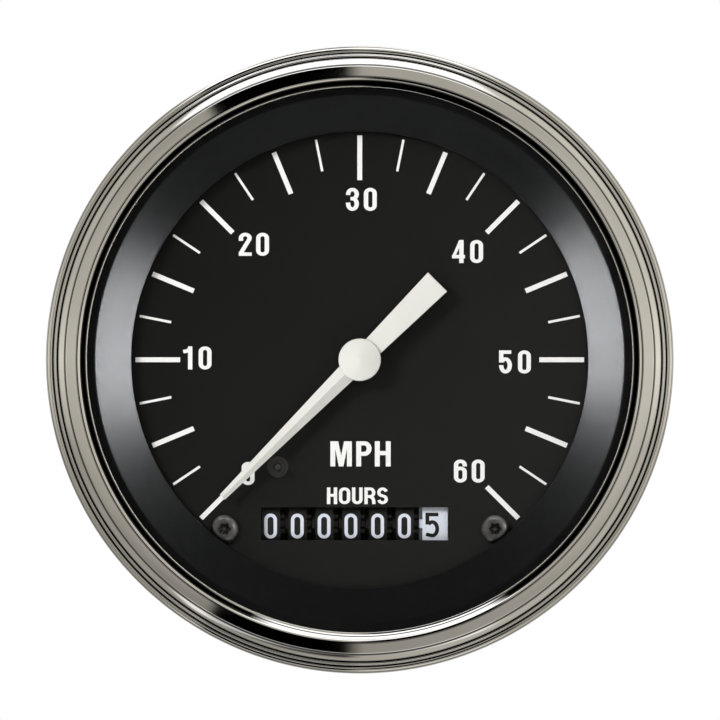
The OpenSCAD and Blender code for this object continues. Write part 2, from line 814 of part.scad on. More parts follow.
// Counter: frame, shafts, number drums, carry pinions and the motor's gears

// A side plate seen from the side: its x goes up and its y to the front
module side_plate(top_y) {
    plate_front_z = dial_back_z - room;
    difference() {
        union() {
            translate([frame_low_y, chassis_front_z])
                square([counter_y + drum_r - frame_low_y, plate_front_z - chassis_front_z]);
            translate([counter_y, counter_z - motor_nose_r - side_plate_t])
                square([top_y - counter_y, 2 * (motor_nose_r + side_plate_t)]);
        }
        translate([counter_y, counter_z]) circle(r = drum_shaft_r + fixed_gap / 2);
        translate([pinion_y, pinion_z]) circle(r = pinion_shaft_r + fixed_gap / 2);
        translate([idler_y, counter_z]) circle(r = idler_arbor_r + fixed_gap / 2);
        translate([motor_y, counter_z]) circle(r = motor_nose_r + fixed_gap / 2);
    }
}

module counter_frame() {
    color("lightgray") {
        along_x(left_plate_x, 0, 0) linear_extrude(side_plate_t) side_plate(counter_y + drum_r);
        along_x(right_plate_x, 0, 0) linear_extrude(side_plate_t) side_plate(motor_y + motor_r);
        difference() {
            translate([left_plate_x, frame_low_y, chassis_front_z])
                cube([right_plate_x + side_plate_t - left_plate_x, frame_web_w, side_plate_t]);
            for (s = [-1, 1])
                small_hole(s * frame_screw_x, frame_screw_y, chassis_front_z - past,
                    chassis_front_z + side_plate_t + past);
        }
    }
}

// A shaft held in both side plates
module shaft_across(y, z, r) {
    rod_x(left_plate_x - room, right_plate_x + side_plate_t, y, z, r);
}

module drum_shaft() {
    color("lightsteelblue") shaft_across(counter_y, counter_z, drum_shaft_r);
}

module pinion_shaft() {
    color("lightsteelblue") shaft_across(pinion_y, pinion_z, pinion_shaft_r);
}

module idler_arbor() {
    color("lightsteelblue")
        rod_x(drive_a_x + pass_gap, right_plate_x + side_plate_t, idler_y, counter_z, idler_arbor_r);
}

// The carry lug of a drum, on a thin disc beside its neighbour's ring
module carry_lug() {
    lug_disc_r = carry_module * carry_ring_teeth / 2 - 2 * carry_module;
    lug_r = lug_disc_r + 2 * carry_module;
    circle(r = lug_disc_r);
    translate([-carry_module, 0]) square([2 * carry_module, lug_r]);
}

// A drum with its number band from x0, and with what stands on its two sides
module drum(x0, width, has_ring, has_lug) {
    ring_w = has_ring ? carry_ring_w : 0;
    lug = has_lug ? lug_w : 0;
    along_x(x0, counter_y, counter_z) difference() {
        union() {
            cylinder(r = drum_r, h = width);
            if (has_ring) translate([0, 0, width]) linear_extrude(ring_w) carry_ring();
            if (has_lug) translate([0, 0, -lug]) linear_extrude(lug) carry_lug();
            if (!has_ring) translate([0, 0, width]) linear_extrude(drive_w) drive_wheel_shape();
        }
        translate([0, 0, -lug - past])
            cylinder(r = drum_shaft_r + running_gap, h = lug + width + ring_w + drive_w + 2 * past);
    }
}

// Drums for whole hours, counted from the left
module whole_drum(i) {
    color([0.08, 0.08, 0.08]) drum(first_band_x + i * drum_pitch, band_w, true, i > 0);
}

module drum_tenths() {
    color("white") drum(last_band_x, last_band_w, false, true);
}

module carry_pinion(i) {
    x0 = first_band_x + i * drum_pitch + band_w + pass_gap;
    color("ivory") along_x(x0, pinion_y, pinion_z) difference() {
        linear_extrude(carry_w) carry_pinion_shape();
        translate([0, 0, -past]) cylinder(r = pinion_shaft_r + running_gap, h = carry_w + 2 * past);
    }
}

module idler_gear() {
    color("ivory") along_x(drive_a_x + pass_gap, idler_y, counter_z) difference() {
        union() {
            linear_extrude(drive_b_x - drive_a_x) drive_pinion_shape();
            translate([0, 0, drive_b_x - drive_a_x - pass_gap]) linear_extrude(drive_w) drive_wheel_shape();
        }
        translate([0, 0, -past]) cylinder(r = idler_arbor_r + running_gap, h = 2 * drive_w + 2);
    }
}

module motor_pinion() {
    arbor_l = motor_l / 2;
    color("goldenrod") {
        along_x(drive_b_x, motor_y, counter_z) linear_extrude(drive_w) drive_pinion_shape();
        rod_x(drive_b_x, right_plate_x + side_plate_t + arbor_l, motor_y, counter_z, motor_arbor_r);
    }
}

module counter_motor() {
    motor_x = right_plate_x + side_plate_t;
    bore_end_x = motor_x + motor_l / 2 + room;
    color("silver") difference() {
        union() {
            rod_x(motor_x, motor_x + motor_l, motor_y, counter_z, motor_r);
            rod_x(right_plate_x, motor_x + past, motor_y, counter_z, motor_nose_r);
        }
        rod_x(right_plate_x - past, bore_end_x, motor_y, counter_z, motor_arbor_r + running_gap);
    }
}

module motor_leads() {
    motor_low_z = counter_z - sqrt(motor_r * motor_r - lead_half_gap * lead_half_gap) - 2 * fixed_gap;
    color("firebrick") for (s = [-1, 1])
        disc_at(lead_x, motor_y + s * lead_half_gap, lead_r, board_front_z, motor_low_z);
}

// Circuit board with its parts, standoffs and calibration switch

module circuit_board() {
    color("darkgreen") difference() {
        translate([-board_w / 2, board_low_y, board_back_z]) cube([board_w, board_h, board_t]);
        for (s = [-1, 1]) {
            for (y = standoff_ys) board_hole(s * standoff_x, y, small_shank_r + fixed_gap);
            for (t = [-1, 1])
                board_hole(s * foot_xy + t * pin_step, s * foot_xy - t * pin_step, pin_r + fixed_gap);
        }
        for (i = [0 : terminal_count - 1])
            board_hole(terminal_x(i), -terminal_drop, terminal_r + 2 * fixed_gap);
    }
}

module board_hole(x, y, r) {
    disc_at(x, y, r, board_back_z - past, board_front_z + past);
}

// A chip, three capacitors and a regulator on the board's front. The capacitors stand between the
// upper standoffs, and they and the regulator stay clear of the coil pins.
module board_parts() {
    chip_w = 9;
    chip_t = 1.6;
    chip_drop = 2;
    can_cap_r = 3.1;
    can_cap_h = 10;
    regulator = [4.5, 10, 9];
    pins_out = foot_xy + pin_step + pin_r + room;
    can_cap_y = pins_out + can_cap_r;
    can_cap_step = standoff_x - standoff_r - 2 * room - can_cap_r;
    color("dimgray") {
        translate([-chip_w / 2, -chip_w - chip_drop, board_front_z]) cube([chip_w, chip_w, chip_t]);
        for (i = [-1 : 1])
            disc_at(i * can_cap_step, can_cap_y, can_cap_r, board_front_z, board_front_z + can_cap_h);
        translate([-pins_out - regulator[0], -regulator[1], board_front_z]) cube(regulator);
    }
}

module board_standoffs() {
    color("goldenrod") for (s = [-1, 1], y = standoff_ys) difference() {
        union() {
            hex_at(s * standoff_x, y, standoff_r, board_front_z, chassis_back_z);
            disc_at(s * standoff_x, y, standoff_r * 0.65, chassis_back_z - past, chassis_front_z);
        }
        small_hole(s * standoff_x, y, board_front_z - past, board_front_z + small_grip);
    }
}

module button_switch() {
    hole_depth = button_in + button_travel + bore_gap;
    color("dimgray") difference() {
        translate([-switch_half_w, button_y - switch_half_w, board_back_z - switch_h])
            cube([2 * switch_half_w, 2 * switch_half_w, switch_h]);
        disc_at(0, button_y, button_r + 2 * fixed_gap,
            board_back_z - switch_h - past, board_back_z - switch_h + hole_depth);
    }
}

module calibration_button() {
    color("firebrick")
        disc_at(0, button_y, button_r, rear_z - button_proud, board_back_z - switch_h + button_in);
}

// Terminals: bolts through the board, the rear wall and an insulating block

function terminal_x(i) = (i - (terminal_count - 1) / 2) * terminal_pitch;

module terminal_block() {
    block_half_w = terminal_pitch * terminal_count / 2;
    color([0.2, 0.1, 0.06]) difference() {
        union() {
            translate([-block_half_w, -terminal_drop - block_half_h, rear_z - block_t])
                cube([2 * block_half_w, 2 * block_half_h, block_t]);
            for (i = [0 : terminal_count - 1])
                disc_at(terminal_x(i), -terminal_drop, terminal_leg_r, rear_z - past, board_back_z);
        }
        for (i = [0 : terminal_count - 1])
            disc_at(terminal_x(i), -terminal_drop, terminal_r + 2 * fixed_gap, rear_z - block_t - past,
                board_back_z + past);
    }
}

// The shank is full as far as the nut, and its free end, for a ring lug, has its thread's mean radius
module terminal_bolts() {
    nut_back_z = rear_z - block_t - terminal_nut_h;
    half_thread_h = 0.25;
    free_r = terminal_r - half_thread_h;
    head_h = 1.8;
    color("goldenrod") for (i = [0 : terminal_count - 1]) {
        hex_at(terminal_x(i), -terminal_drop, terminal_nut_r, board_front_z, board_front_z + head_h);
        disc_at(terminal_x(i), -terminal_drop, terminal_r, nut_back_z, board_front_z);
        disc_at(terminal_x(i), -terminal_drop, free_r, nut_back_z - terminal_free_l, nut_back_z);
    }
}

module terminal_nuts() {
    nut_front_z = rear_z - block_t;
    color("goldenrod") for (i = [0 : terminal_count - 1]) difference() {
        hex_at(terminal_x(i), -terminal_drop, terminal_nut_r, nut_front_z - terminal_nut_h, nut_front_z);
        disc_at(terminal_x(i), -terminal_drop, terminal_r + fixed_gap, nut_front_z - terminal_nut_h - past,
            nut_front_z + past);
    }
}

// Mounting studs, each with a spacer collar between the chassis and the rear wall

module mounting_studs() {
    color("silver") for (s = [-1, 1]) {
        hex_at(s * stud_x, 0, stud_hex_r, chassis_front_z, chassis_front_z + stud_head_h);
        disc_at(s * stud_x, 0, stud_r, rear_z - stud_l, chassis_front_z);
        disc_at(s * stud_x, 0, spacer_r, floor_z, chassis_back_z);
    }
}

module stud_nuts() {
    color("silver") for (s = [-1, 1]) difference() {
        hex_at(s * stud_x, 0, stud_hex_r, rear_z - stud_nut_h, rear_z);
        disc_at(s * stud_x, 0, stud_r + fixed_gap, rear_z - stud_nut_h - past, rear_z + past);
    }
}

module lamp_sockets() {
    grip_l = 6;
    bore_bottom_z = rear_z + 3 * lamp_wall;
    color([0.12, 0.12, 0.12]) for (s = [-1, 1]) difference() {
        union() {
            disc_at(s * lamp_x, lamp_y, lamp_barrel_r, rear_z - past, rear_z + lamp_barrel_l);
            disc_at(s * lamp_x, lamp_y, lamp_flange_r, rear_z - lamp_flange_t, rear_z);
            disc_at(s * lamp_x, lamp_y, lamp_barrel_r * 0.8, rear_z - grip_l, rear_z);
        }
        disc_at(s * lamp_x, lamp_y, bulb_r + 2 * fixed_gap, bore_bottom_z, rear_z + lamp_barrel_l + past);
    }
}

module lamp_bulbs() {
    bulb_low_z = rear_z + 3 * lamp_wall;
    color("lightyellow") for (s = [-1, 1])
        translate([s * lamp_x, lamp_y, bulb_low_z]) turned(concat(
            [[0, 0], [bulb_r, 0]],
            arc([0, bulb_l - bulb_r], bulb_r, 0, 90)));
}

// Clamp: a strip bent to a U, held on the studs by washers and thumb nuts

// One face of the strip, from foot to foot round both bends, from the right for a side of 1
function clamp_path(leg_x, bar_z, bend_r, side) =
    let (first_bend = arc([leg_x - bend_r, bar_z + bend_r], bend_r, 0, -90),
        path = concat([[leg_x, -panel_t]], first_bend))
    concat([for (p = path) [side * p[0], p[1]]],
        [for (i = [len(path) - 1 : -1 : 0]) [-side * path[i][0], path[i][1]]]);

module clamp_bracket() {
    color("silver") difference() {
        translate([0, clamp_w / 2, 0]) rotate([90, 0, 0]) linear_extrude(clamp_w) polygon(concat(
            clamp_path(clamp_leg_x + clamp_t, clamp_bar_z - clamp_t, clamp_bend_r + clamp_t, 1),
            clamp_path(clamp_leg_x, clamp_bar_z, clamp_bend_r, -1)));
        for (s = [-1, 1])
            disc_at(s * stud_x, 0, stud_r + room, clamp_bar_z - clamp_t - past, clamp_bar_z + past);
    }
}

module clamp_washers() {
    bar_back_z = clamp_bar_z - clamp_t;
    color("silver") for (s = [-1, 1])
        tube_at(s * stud_x, 0, washer_r, stud_r + room / 2, bar_back_z - washer_t, bar_back_z);
}

module thumb_nuts() {
    nut_front_z = clamp_bar_z - clamp_t - washer_t;
    collar_h = thumb_h * 0.35;
    color("goldenrod") for (s = [-1, 1]) translate([s * stud_x, 0, nut_front_z - thumb_h])
        turned([[stud_r + fixed_gap * 2, 0], [thumb_r - edge_chamfer, 0], [thumb_r, edge_chamfer],
            [thumb_r, thumb_h - collar_h], [thumb_r * 0.75, thumb_h - collar_h],
            [thumb_r * 0.75, thumb_h], [stud_r + fixed_gap * 2, thumb_h]]);
}

upright() bezel();
upright() glass();
upright() glass_gasket();
upright() trim_ring();
upright() case();
upright() dial_plate();
upright() dial_marks();
upright() dial_screws();
upright() dial_posts();
upright() stop_pin();
upright() pointer_blade();
upright() pointer_cap();
upright() pointer_bush();
upright() spindle();
upright() rotor_magnet();
upright() bobbin_front();
upright() bobbin_rear();
upright() sine_coil();
upright() cosine_coil();
upright() spindle_bushes();
upright() screening_can();
upright() coil_pins();
upright() chassis_plate();
upright() chassis_screws();
upright() counter_frame();
upright() drum_shaft();
upright() pinion_shaft();
upright() idler_arbor();
upright() whole_drum(0);  // drum_hundred_thousands
upright() whole_drum(1);  // drum_ten_thousands
upright() whole_drum(2);  // drum_thousands
upright() whole_drum(3);  // drum_hundreds
upright() whole_drum(4);  // drum_tens
upright() whole_drum(5);  // drum_ones
upright() drum_tenths();
upright() carry_pinion(0);  // carry_pinion_1
upright() carry_pinion(1);  // carry_pinion_2
upright() carry_pinion(2);  // carry_pinion_3
upright() carry_pinion(3);  // carry_pinion_4
upright() carry_pinion(4);  // carry_pinion_5
upright() carry_pinion(5);  // carry_pinion_6
upright() idler_gear();
upright() motor_pinion();
upright() counter_motor();
upright() motor_leads();
upright() circuit_board();
upright() board_parts();
upright() board_standoffs();
upright() button_switch();
upright() calibration_button();
upright() terminal_block();
upright() terminal_bolts();
upright() terminal_nuts();
upright() mounting_studs();
upright() stud_nuts();
upright() lamp_sockets();
upright() lamp_bulbs();
upright() clamp_bracket();
upright() clamp_washers();
upright() thumb_nuts();
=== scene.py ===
import json
from math import atan2, cos, hypot, pi, radians, sin

import bmesh
import bpy
from mathutils import Matrix, Vector

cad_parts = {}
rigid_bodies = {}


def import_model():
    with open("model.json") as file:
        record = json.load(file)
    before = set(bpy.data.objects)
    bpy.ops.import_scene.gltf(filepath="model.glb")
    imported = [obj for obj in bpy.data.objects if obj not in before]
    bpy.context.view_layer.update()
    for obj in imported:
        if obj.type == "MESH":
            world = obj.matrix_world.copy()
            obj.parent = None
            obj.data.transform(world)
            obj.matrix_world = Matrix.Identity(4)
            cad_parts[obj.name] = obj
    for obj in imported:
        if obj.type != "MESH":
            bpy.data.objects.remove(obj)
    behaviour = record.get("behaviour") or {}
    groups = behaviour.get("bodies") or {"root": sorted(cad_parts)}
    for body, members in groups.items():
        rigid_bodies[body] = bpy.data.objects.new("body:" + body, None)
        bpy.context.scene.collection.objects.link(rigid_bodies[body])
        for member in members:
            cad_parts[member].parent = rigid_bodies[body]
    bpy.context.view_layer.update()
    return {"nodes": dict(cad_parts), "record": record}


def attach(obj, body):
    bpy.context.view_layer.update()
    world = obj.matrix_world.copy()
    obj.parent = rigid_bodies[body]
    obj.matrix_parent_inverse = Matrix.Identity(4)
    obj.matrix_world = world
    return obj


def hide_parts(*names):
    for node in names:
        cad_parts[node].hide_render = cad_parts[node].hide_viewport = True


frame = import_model()
nodes = frame["nodes"]
scene = bpy.context.scene
scene.view_settings.view_transform = "Standard"
print("frame loaded:", len(nodes), "nodes")

# Pieces are drawn in the dial's own frame in mm: x right, y up, z to the viewer
dialToWorld = Matrix(((0.001, 0, 0, 0), (0, 0, -0.001, 0), (0, 0.001, 0, 0), (0, 0, 0, 1)))


# Finishes

class Wire:  # a socket of a node tree; sums and products of wires add Math nodes
    def __init__(self, tree, socket=None):
        self.tree, self.socket = tree, socket

    def add(self, kind, settings=None, inputs=None, out=0):
        node = self.tree.nodes.new("ShaderNode" + kind)
        for key, value in (settings or {}).items():
            if key == "stops":
                stops = node.color_ramp.elements
                while len(stops) < len(value):
                    stops.new(0.5)
                for stop, (place, shade) in zip(stops, value):
                    stop.position, stop.color = place, (shade, shade, shade, 1)
            else:
                setattr(node, key, value)
        for key, value in (inputs or {}).items():
            if isinstance(value, Wire):
                self.tree.links.new(value.socket, node.inputs[key])
            else:
                node.inputs[key].default_value = value
        return Wire(self.tree, node.outputs[out] if len(node.outputs) else None)

    def sums(self, operation, first, second):
        return self.add("Math", {"operation": operation}, {0: first, 1: second})

    def __add__(self, other):
        return self.sums("ADD", self, other)

    def __sub__(self, other):
        return self.sums("SUBTRACT", self, other)

    def __rsub__(self, other):
        return self.sums("SUBTRACT", other, self)

    def __mul__(self, other):
        return self.sums("MULTIPLY", self, other)

    __radd__, __rmul__ = __add__, __mul__

    def place(self, turn=(0, 0, 0), stretch=(1, 1, 1)):  # the piece's own coordinates
        spot = self.add("TexCoord", out=3)
        return self.add("Mapping", {}, {"Vector": spot, "Rotation": turn, "Scale": stretch})

    def noise(self, size, detail=3.0, stretch=(1, 1, 1)):  # size in mm
        return self.add("TexNoise", {}, {"Vector": self.place(stretch=stretch), "Scale": 1000 / size,
                                         "Detail": detail})

    def ramp(self, *stops):
        return self.add("ValToRGB", {"stops": stops}, {0: self})

    def mix(self, first, second):  # this wire is the share of the second colour
        return self.add("Mix", {"data_type": "RGBA"}, {0: self, 6: (*first, 1), 7: (*second, 1)}, 2)

    def shade(self, colour):  # the colour times this wire
        return self.add("VectorMath", {"operation": "SCALE"}, {0: colour, "Scale": self})

    def axes(self, *picked):  # x, y and z are 0, 1 and 2
        return [self.add("SeparateXYZ", {}, {0: self}, k) for k in picked]

    def length(self):
        return self.add("VectorMath", {"operation": "LENGTH"}, {0: self}, 1)

    def bump(self, height, depth, strength=0.5):  # depth in mm
        return self.add("Bump", {}, {"Height": height, "Distance": depth / 1000, "Strength": strength})


def newFinish(name, steady=None):
    material = bpy.data.materials.new(name)
    material.use_nodes = True
    shader = material.node_tree.nodes["Principled BSDF"]
    for key, value in (steady or {}).items():
        shader.inputs[key].default_value = value
    wire = Wire(material.node_tree)

    def link(key, source):
        wire.tree.links.new(source.socket, shader.inputs[key])
    return material, wire, link


finishes = {}


def grey(shade):
    return (shade,) * 3


def grainFinish(slot, dark, light, rough, metal=0.0, patch=4.0, grain=0.25, depth=0.01, spread=0.12,
                recessShade=(), **steady):
    steady = {"Metallic": metal, **{key.replace("_", " "): value for key, value in steady.items()}}
    material, wire, link = newFinish(slot, steady)
    clouds = wire.noise(patch, 4)
    fine = wire.noise(grain, 2)
    tone = (clouds * 0.7 + fine * 0.3).ramp((0.3, 0), (0.7, 1)).mix(dark, light)
    if recessShade:  # painted shade: darker within a range of depth, in mm behind the front edge of the range
        behind = wire.place().axes(1)[0] * 1000 - recessShade[0]
        tone = behind.ramp(*recessShade[1:]).shade(tone)
    link("Base Color", tone)
    link("Roughness", rough + spread * (clouds * 0.6 + fine * 0.4 - 0.5))
    link("Normal", wire.bump(fine, depth))
    finishes[slot] = material


def drawnFinish(slot, dark, light, rough, stretch, patch=7.0, depth=0.004):  # metal with fine lines one way
    material, wire, link = newFinish(slot, {"Metallic": 1.0})
    clouds = wire.noise(patch, 5)
    lines = wire.noise(0.3, 3, stretch)
    link("Base Color", (clouds * 0.75 + lines * 0.25).ramp((0.32, 0), (0.68, 1)).mix(dark, light))
    link("Roughness", rough + 0.16 * (clouds * 0.5 + lines * 0.5 - 0.5))
    link("Normal", wire.bump(lines, depth, 0.4))
    finishes[slot] = material


# Painted dark lines on the bezel stand in for shade and dark reflections
chromeSet = {"from": 41.0, "span": 6.25, "soft": 0.04, "front": ((0.10, 0), (0.15, 1)),
             "lip": ((41.57, 0.36, 0.07),), "lipLow": ((0.82, 0), (0.90, 1)),
             "lines": ((41.62, 0.06, 0.10), (42.66, 0.06, 0.35), (44.38, 0.13, 0.20), (45.50, 0.13, 0.18),
                       (46.22, 0.13, 0.18))}  # radius, half width, share of the shine left in each painted dark line


def chromeFinish(s):  # polished, with painted shade and painted dark reflections: dark lines along each groove and a dark band inside its lip
    material, wire, link = newFinish("chrome", {"Metallic": 1.0})
    haze = wire.noise(9, 4)
    swirl = wire.noise(0.5, 2)
    away = wire.place(stretch=(1, 0, 1)).length()
    across = away * (1000 / s["span"]) - s["from"] / s["span"]
    sides = ((-1, s["soft"]), (-1, 0), (1, 0), (1, s["soft"]))

    def dulled(lines):
        stops = [((r + k * (half + soft) - s["from"]) / s["span"], 1 if soft else left)
                 for r, half, left in lines for k, soft in sides]
        return across.ramp(*stops)
    lip, paintedLines = dulled(s["lip"]), dulled(s["lines"])
    depth, up = wire.place().axes(1, 2)
    low = (0.0 - wire.sums("DIVIDE", up, away)).ramp(*s["lipLow"])  # the painted dark band inside the lip fades out at the bottom, leaving the lip bright there
    shine = paintedLines * (1 - (1 - lip) * (1 - low))
    # the painted darkening is kept to the front of the bezel
    front = (depth * -100).ramp(*s["front"])
    tone = haze.ramp((0.3, 0), (0.7, 1)).mix((0.80, 0.79, 0.76), (0.86, 0.85, 0.83))
    link("Base Color", (1 - (1 - shine) * front).shade(tone))
    link("Roughness", 0.03 + 0.05 * haze * swirl)
    link("Normal", wire.bump(haze, 0.004, 0.04))
    finishes["chrome"] = material


def lensFinish():
    material, wire, link = newFinish("clear_glass", {"Metallic": 1.0, "Base Color": (0.95, 0.97, 0.96, 1)})
    smear = wire.noise(14, 4)
    link("Roughness", 0.01 + 0.02 * smear)
    slant = wire.add("LayerWeight", {}, {"Blend": 0.5}, 1)
    link("Alpha", 0.035 + 0.32 * wire.sums("POWER", slant, 4.0))  # clear from the front, mirror-like aslant
    finishes["clear_glass"] = material


def windingFinish():  # enamelled wire laid side by side
    material, wire, link = newFinish("copper_wire", {"Metallic": 0.85, "Coat Weight": 0.4})
    turns = wire.add("TexWave", {"bands_direction": "Y"}, {"Vector": wire.place(), "Scale": 900.0})
    link("Base Color", turns.mix((0.16, 0.045, 0.015), (0.62, 0.24, 0.09)))
    link("Roughness", 0.28 + 0.2 * wire.noise(2))
    link("Normal", wire.bump(turns, 0.05))
    finishes["copper_wire"] = material


def boardFinish():  # green lacquer over copper tracks
    material, wire, link = newFinish("board_green", {"Coat Weight": 0.5})
    tracks = wire.add("TexBrick", {"offset": 0.4}, {"Vector": wire.place((radians(90), 0, 0)), "Scale": 260.0,
                                                     "Mortar Size": 0.03}, 1)
    link("Base Color", tracks.mix((0.012, 0.085, 0.03), (0.03, 0.17, 0.06)))
    link("Roughness", 0.32 + 0.2 * wire.noise(3))
    link("Normal", wire.bump(tracks, 0.03))
    finishes["board_green"] = material


def dialFinish():  # black enamel with a painted highlight: darker towards the upper left, lighter towards the lower right
    material, wire, link = newFinish("dial_black", {"Specular IOR Level": 0.16})
    fine = wire.noise(0.12, 2)
    x, z = wire.place().axes(0, 2)
    paintedSheen = (0.62 + (x - 0.6 * z) * 9.0 + 0.16 * wire.noise(16) - 0.08).ramp((0.0, 0), (1.0, 1))
    link("Base Color", (paintedSheen * 0.9 + fine * 0.1).mix((0.0028, 0.0028, 0.003), grey(0.015)))
    link("Roughness", 0.42 + 0.1 * fine)
    link("Normal", wire.bump(fine, 0.004))
    finishes["dial_black"] = material


chromeFinish(chromeSet)
lensFinish()
windingFinish()
boardFinish()
grainFinish("satin_black", grey(0.002), grey(0.005), 0.35, patch=1.2, grain=0.22,
            depth=0.005, spread=0.06, Specular_IOR_Level=0.36)
dialFinish()
grainFinish("white_print", (0.91, 0.91, 0.90), (0.96, 0.96, 0.95), 0.5, patch=2.5, grain=0.1, depth=0.004)
grainFinish("pointer_white", (0.76, 0.76, 0.72), (0.82, 0.82, 0.78), 0.42, patch=5, grain=0.15, depth=0.004)
# the lower part of the screw heads' sockets is painted darker, as shade
grainFinish("screw_steel", (0.13, 0.13, 0.135), grey(0.27), 0.33, 1.0, patch=0.9, grain=0.12,
            recessShade=(3.2, (0.0, 1), (0.15, 0.22), (0.60, 0.22), (0.70, 1)))
grainFinish("bright_steel", (0.55, 0.56, 0.57), grey(0.7), 0.25, 1.0, patch=2)
drawnFinish("zinc_steel", (0.56, 0.57, 0.57), (0.66, 0.665, 0.65), 0.29, (1, 9, 1))
grainFinish("brass", (0.50, 0.33, 0.12), (0.76, 0.56, 0.25), 0.30, 1.0, patch=2.2, grain=0.15, spread=0.2)
grainFinish("magnet", (0.03, 0.03, 0.032), grey(0.07), 0.6, 0.3)
grainFinish("black_rubber", grey(0.01), grey(0.022), 0.75, grain=0.18, depth=0.02)
grainFinish("natural_plastic", (0.62, 0.58, 0.48), (0.72, 0.68, 0.58), 0.42, Subsurface_Weight=0.05)
grainFinish("drum_black", grey(0.006), grey(0.014), 0.40, patch=1.5, grain=0.15)
grainFinish("drum_white", (0.68, 0.73, 0.84), (0.80, 0.84, 0.93), 0.38, patch=3, grain=0.15)
grainFinish("red_plastic", (0.36, 0.012, 0.010), (0.50, 0.022, 0.016), 0.34, patch=1.5, grain=0.15,
            Coat_Weight=0.2)
grainFinish("dark_plastic", grey(0.012), grey(0.03), 0.46, patch=2, grain=0.2, depth=0.02)
grainFinish("brown_resin", (0.045, 0.018, 0.009), (0.12, 0.050, 0.022), 0.36, patch=1.6, grain=0.3,
            Coat_Weight=0.15)
grainFinish("lamp_glass", (0.80, 0.78, 0.70), (0.88, 0.86, 0.80), 0.12, patch=3, Transmission_Weight=0.6)
for part in frame["record"]["subparts"]:  # each node that stays takes its slot's finish
    mesh = nodes[part["node"]].data
    mesh.materials.clear()
    mesh.materials.append(finishes[part["material_slot"]])
print("finishes:", len(finishes))


# Shaping helpers

def placed(bm, name, material):
    mesh = bpy.data.meshes.new(name)
    bm.to_mesh(mesh)
    bm.free()
    mesh.materials.append(material)
    piece = bpy.data.objects.new(name, mesh)
    scene.collection.objects.link(piece)
    return piece


def finishPiece(bm, name, body, slot, stands=(), sharp=32, world=False):
    weld, sliver = (1e-7, 1e-8) if world else (1e-4, 1e-5)
    bmesh.ops.remove_doubles(bm, verts=bm.verts, dist=weld)
    bmesh.ops.dissolve_degenerate(bm, edges=bm.edges, dist=sliver)
    bmesh.ops.recalc_face_normals(bm, faces=bm.faces)
    if not world:
        bmesh.ops.transform(bm, matrix=dialToWorld, verts=bm.verts)
    piece = placed(bm, name, finishes[slot])
    piece.data.shade_smooth()
    piece.data.set_sharp_from_angle(angle=radians(sharp))
    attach(piece, body)
    if stands:
        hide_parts(*stands)
    return piece


def vertsIn(geom):
    return [item for item in geom if isinstance(item, bmesh.types.BMVert)]


def arc(x, y, rx, ry, start, end, steps=8):  # points of an elliptical arc, angles in degrees
    angles = [radians(start + (end - start) * i / steps) for i in range(steps + 1)]
    return [(x + rx * cos(a), y + ry * sin(a)) for a in angles]


def turn(bm, points, steps, centre=(0, 0), closed=True):  # spins a half section of radius and height
    verts = [bm.verts.new((r, 0, z)) for r, z in points]
    pairs = list(zip(verts, verts[1:])) + ([(verts[-1], verts[0])] if closed else [])
    edges = [bm.edges.new(pair) for pair in pairs]
    made = set(bm.verts) - set(verts)
    bmesh.ops.spin(bm, geom=verts + edges, cent=(0, 0, 0), axis=(0, 0, 1), dvec=(0, 0, 0), angle=2 * pi,
                   steps=steps, use_merge=True, use_duplicate=False)
    fresh = [v for v in bm.verts if v not in made]
    bmesh.ops.translate(bm, verts=fresh, vec=(*centre, 0))


def hexShape(r, cap=None):  # a hexagon, its corners cut back to a circle
    def reach(a):
        side = r * cos(pi / 6) / cos((a + pi / 6) % (pi / 3) - pi / 6)
        return min(side, cap or side)
    return reach


def lobeShape(r, depth, lobes):
    return lambda a: r + depth * cos(lobes * a)


# Rings pulled up one from another; each row is a radius or a shape, and a height
def stack(bm, centre, sides, rows, bored=False):
    ring = bmesh.ops.create_circle(bm, cap_ends=False, radius=1, segments=sides)["verts"]
    order = sorted(ring, key=lambda v: atan2(v.co.y, v.co.x))
    angles = [atan2(v.co.y, v.co.x) for v in order]
    first = order
    for index, (shape, z) in enumerate(rows):
        if index:
            edges = [bm.edges.get((order[i - 1], order[i])) for i in range(sides)]
            made = bmesh.ops.extrude_edge_only(bm, edges=edges)["geom"]
            fresh = set(vertsIn(made))
            order = [next(e.other_vert(v) for e in v.link_edges if e.other_vert(v) in fresh) for v in order]
        for v, a in zip(order, angles):
            r = shape(a) if callable(shape) else shape
            v.co = (centre[0] + r * cos(a), centre[1] + r * sin(a), z)
    ends = [[bm.edges.get((loop[i - 1], loop[i])) for i in range(sides)] for loop in (first, order)]
    if bored:
        bmesh.ops.bridge_loops(bm, edges=ends[0] + ends[1])
    else:
        for loop in ends:
            bmesh.ops.edgeloop_fill(bm, edges=loop)


threadSet = {"crest": (0.38, 0.58), "foot": 0.96, "start": 0.3, "steps": 20}  # shares of the pitch


def thread(bm, centre, major, minor, low, high, pitch):  # a helical ridge on a shank
    s, steps = threadSet, threadSet["steps"]
    turns = int((high - low) / pitch) - 1
    section = [(minor, 0), *((major, share * pitch) for share in s["crest"]), (minor, s["foot"] * pitch)]
    known = set(bm.verts)
    verts = [bm.verts.new((r, 0, low + s["start"] * pitch + z)) for r, z in section]
    edges = [bm.edges.new((verts[i - 1], verts[i])) for i in range(4)]
    bm.faces.new(verts)
    bmesh.ops.spin(bm, geom=verts + edges, cent=(0, 0, 0), axis=(0, 0, 1), dvec=(0, 0, pitch / steps),
                   angle=2 * pi * turns, steps=turns * steps, use_merge=False, use_duplicate=False)
    fresh = [v for v in bm.verts if v not in known]
    bmesh.ops.holes_fill(bm, edges=[e for e in bm.edges if e.is_boundary and e.verts[0] in fresh], sides=4)
    bmesh.ops.translate(bm, verts=fresh, vec=(*centre, 0))


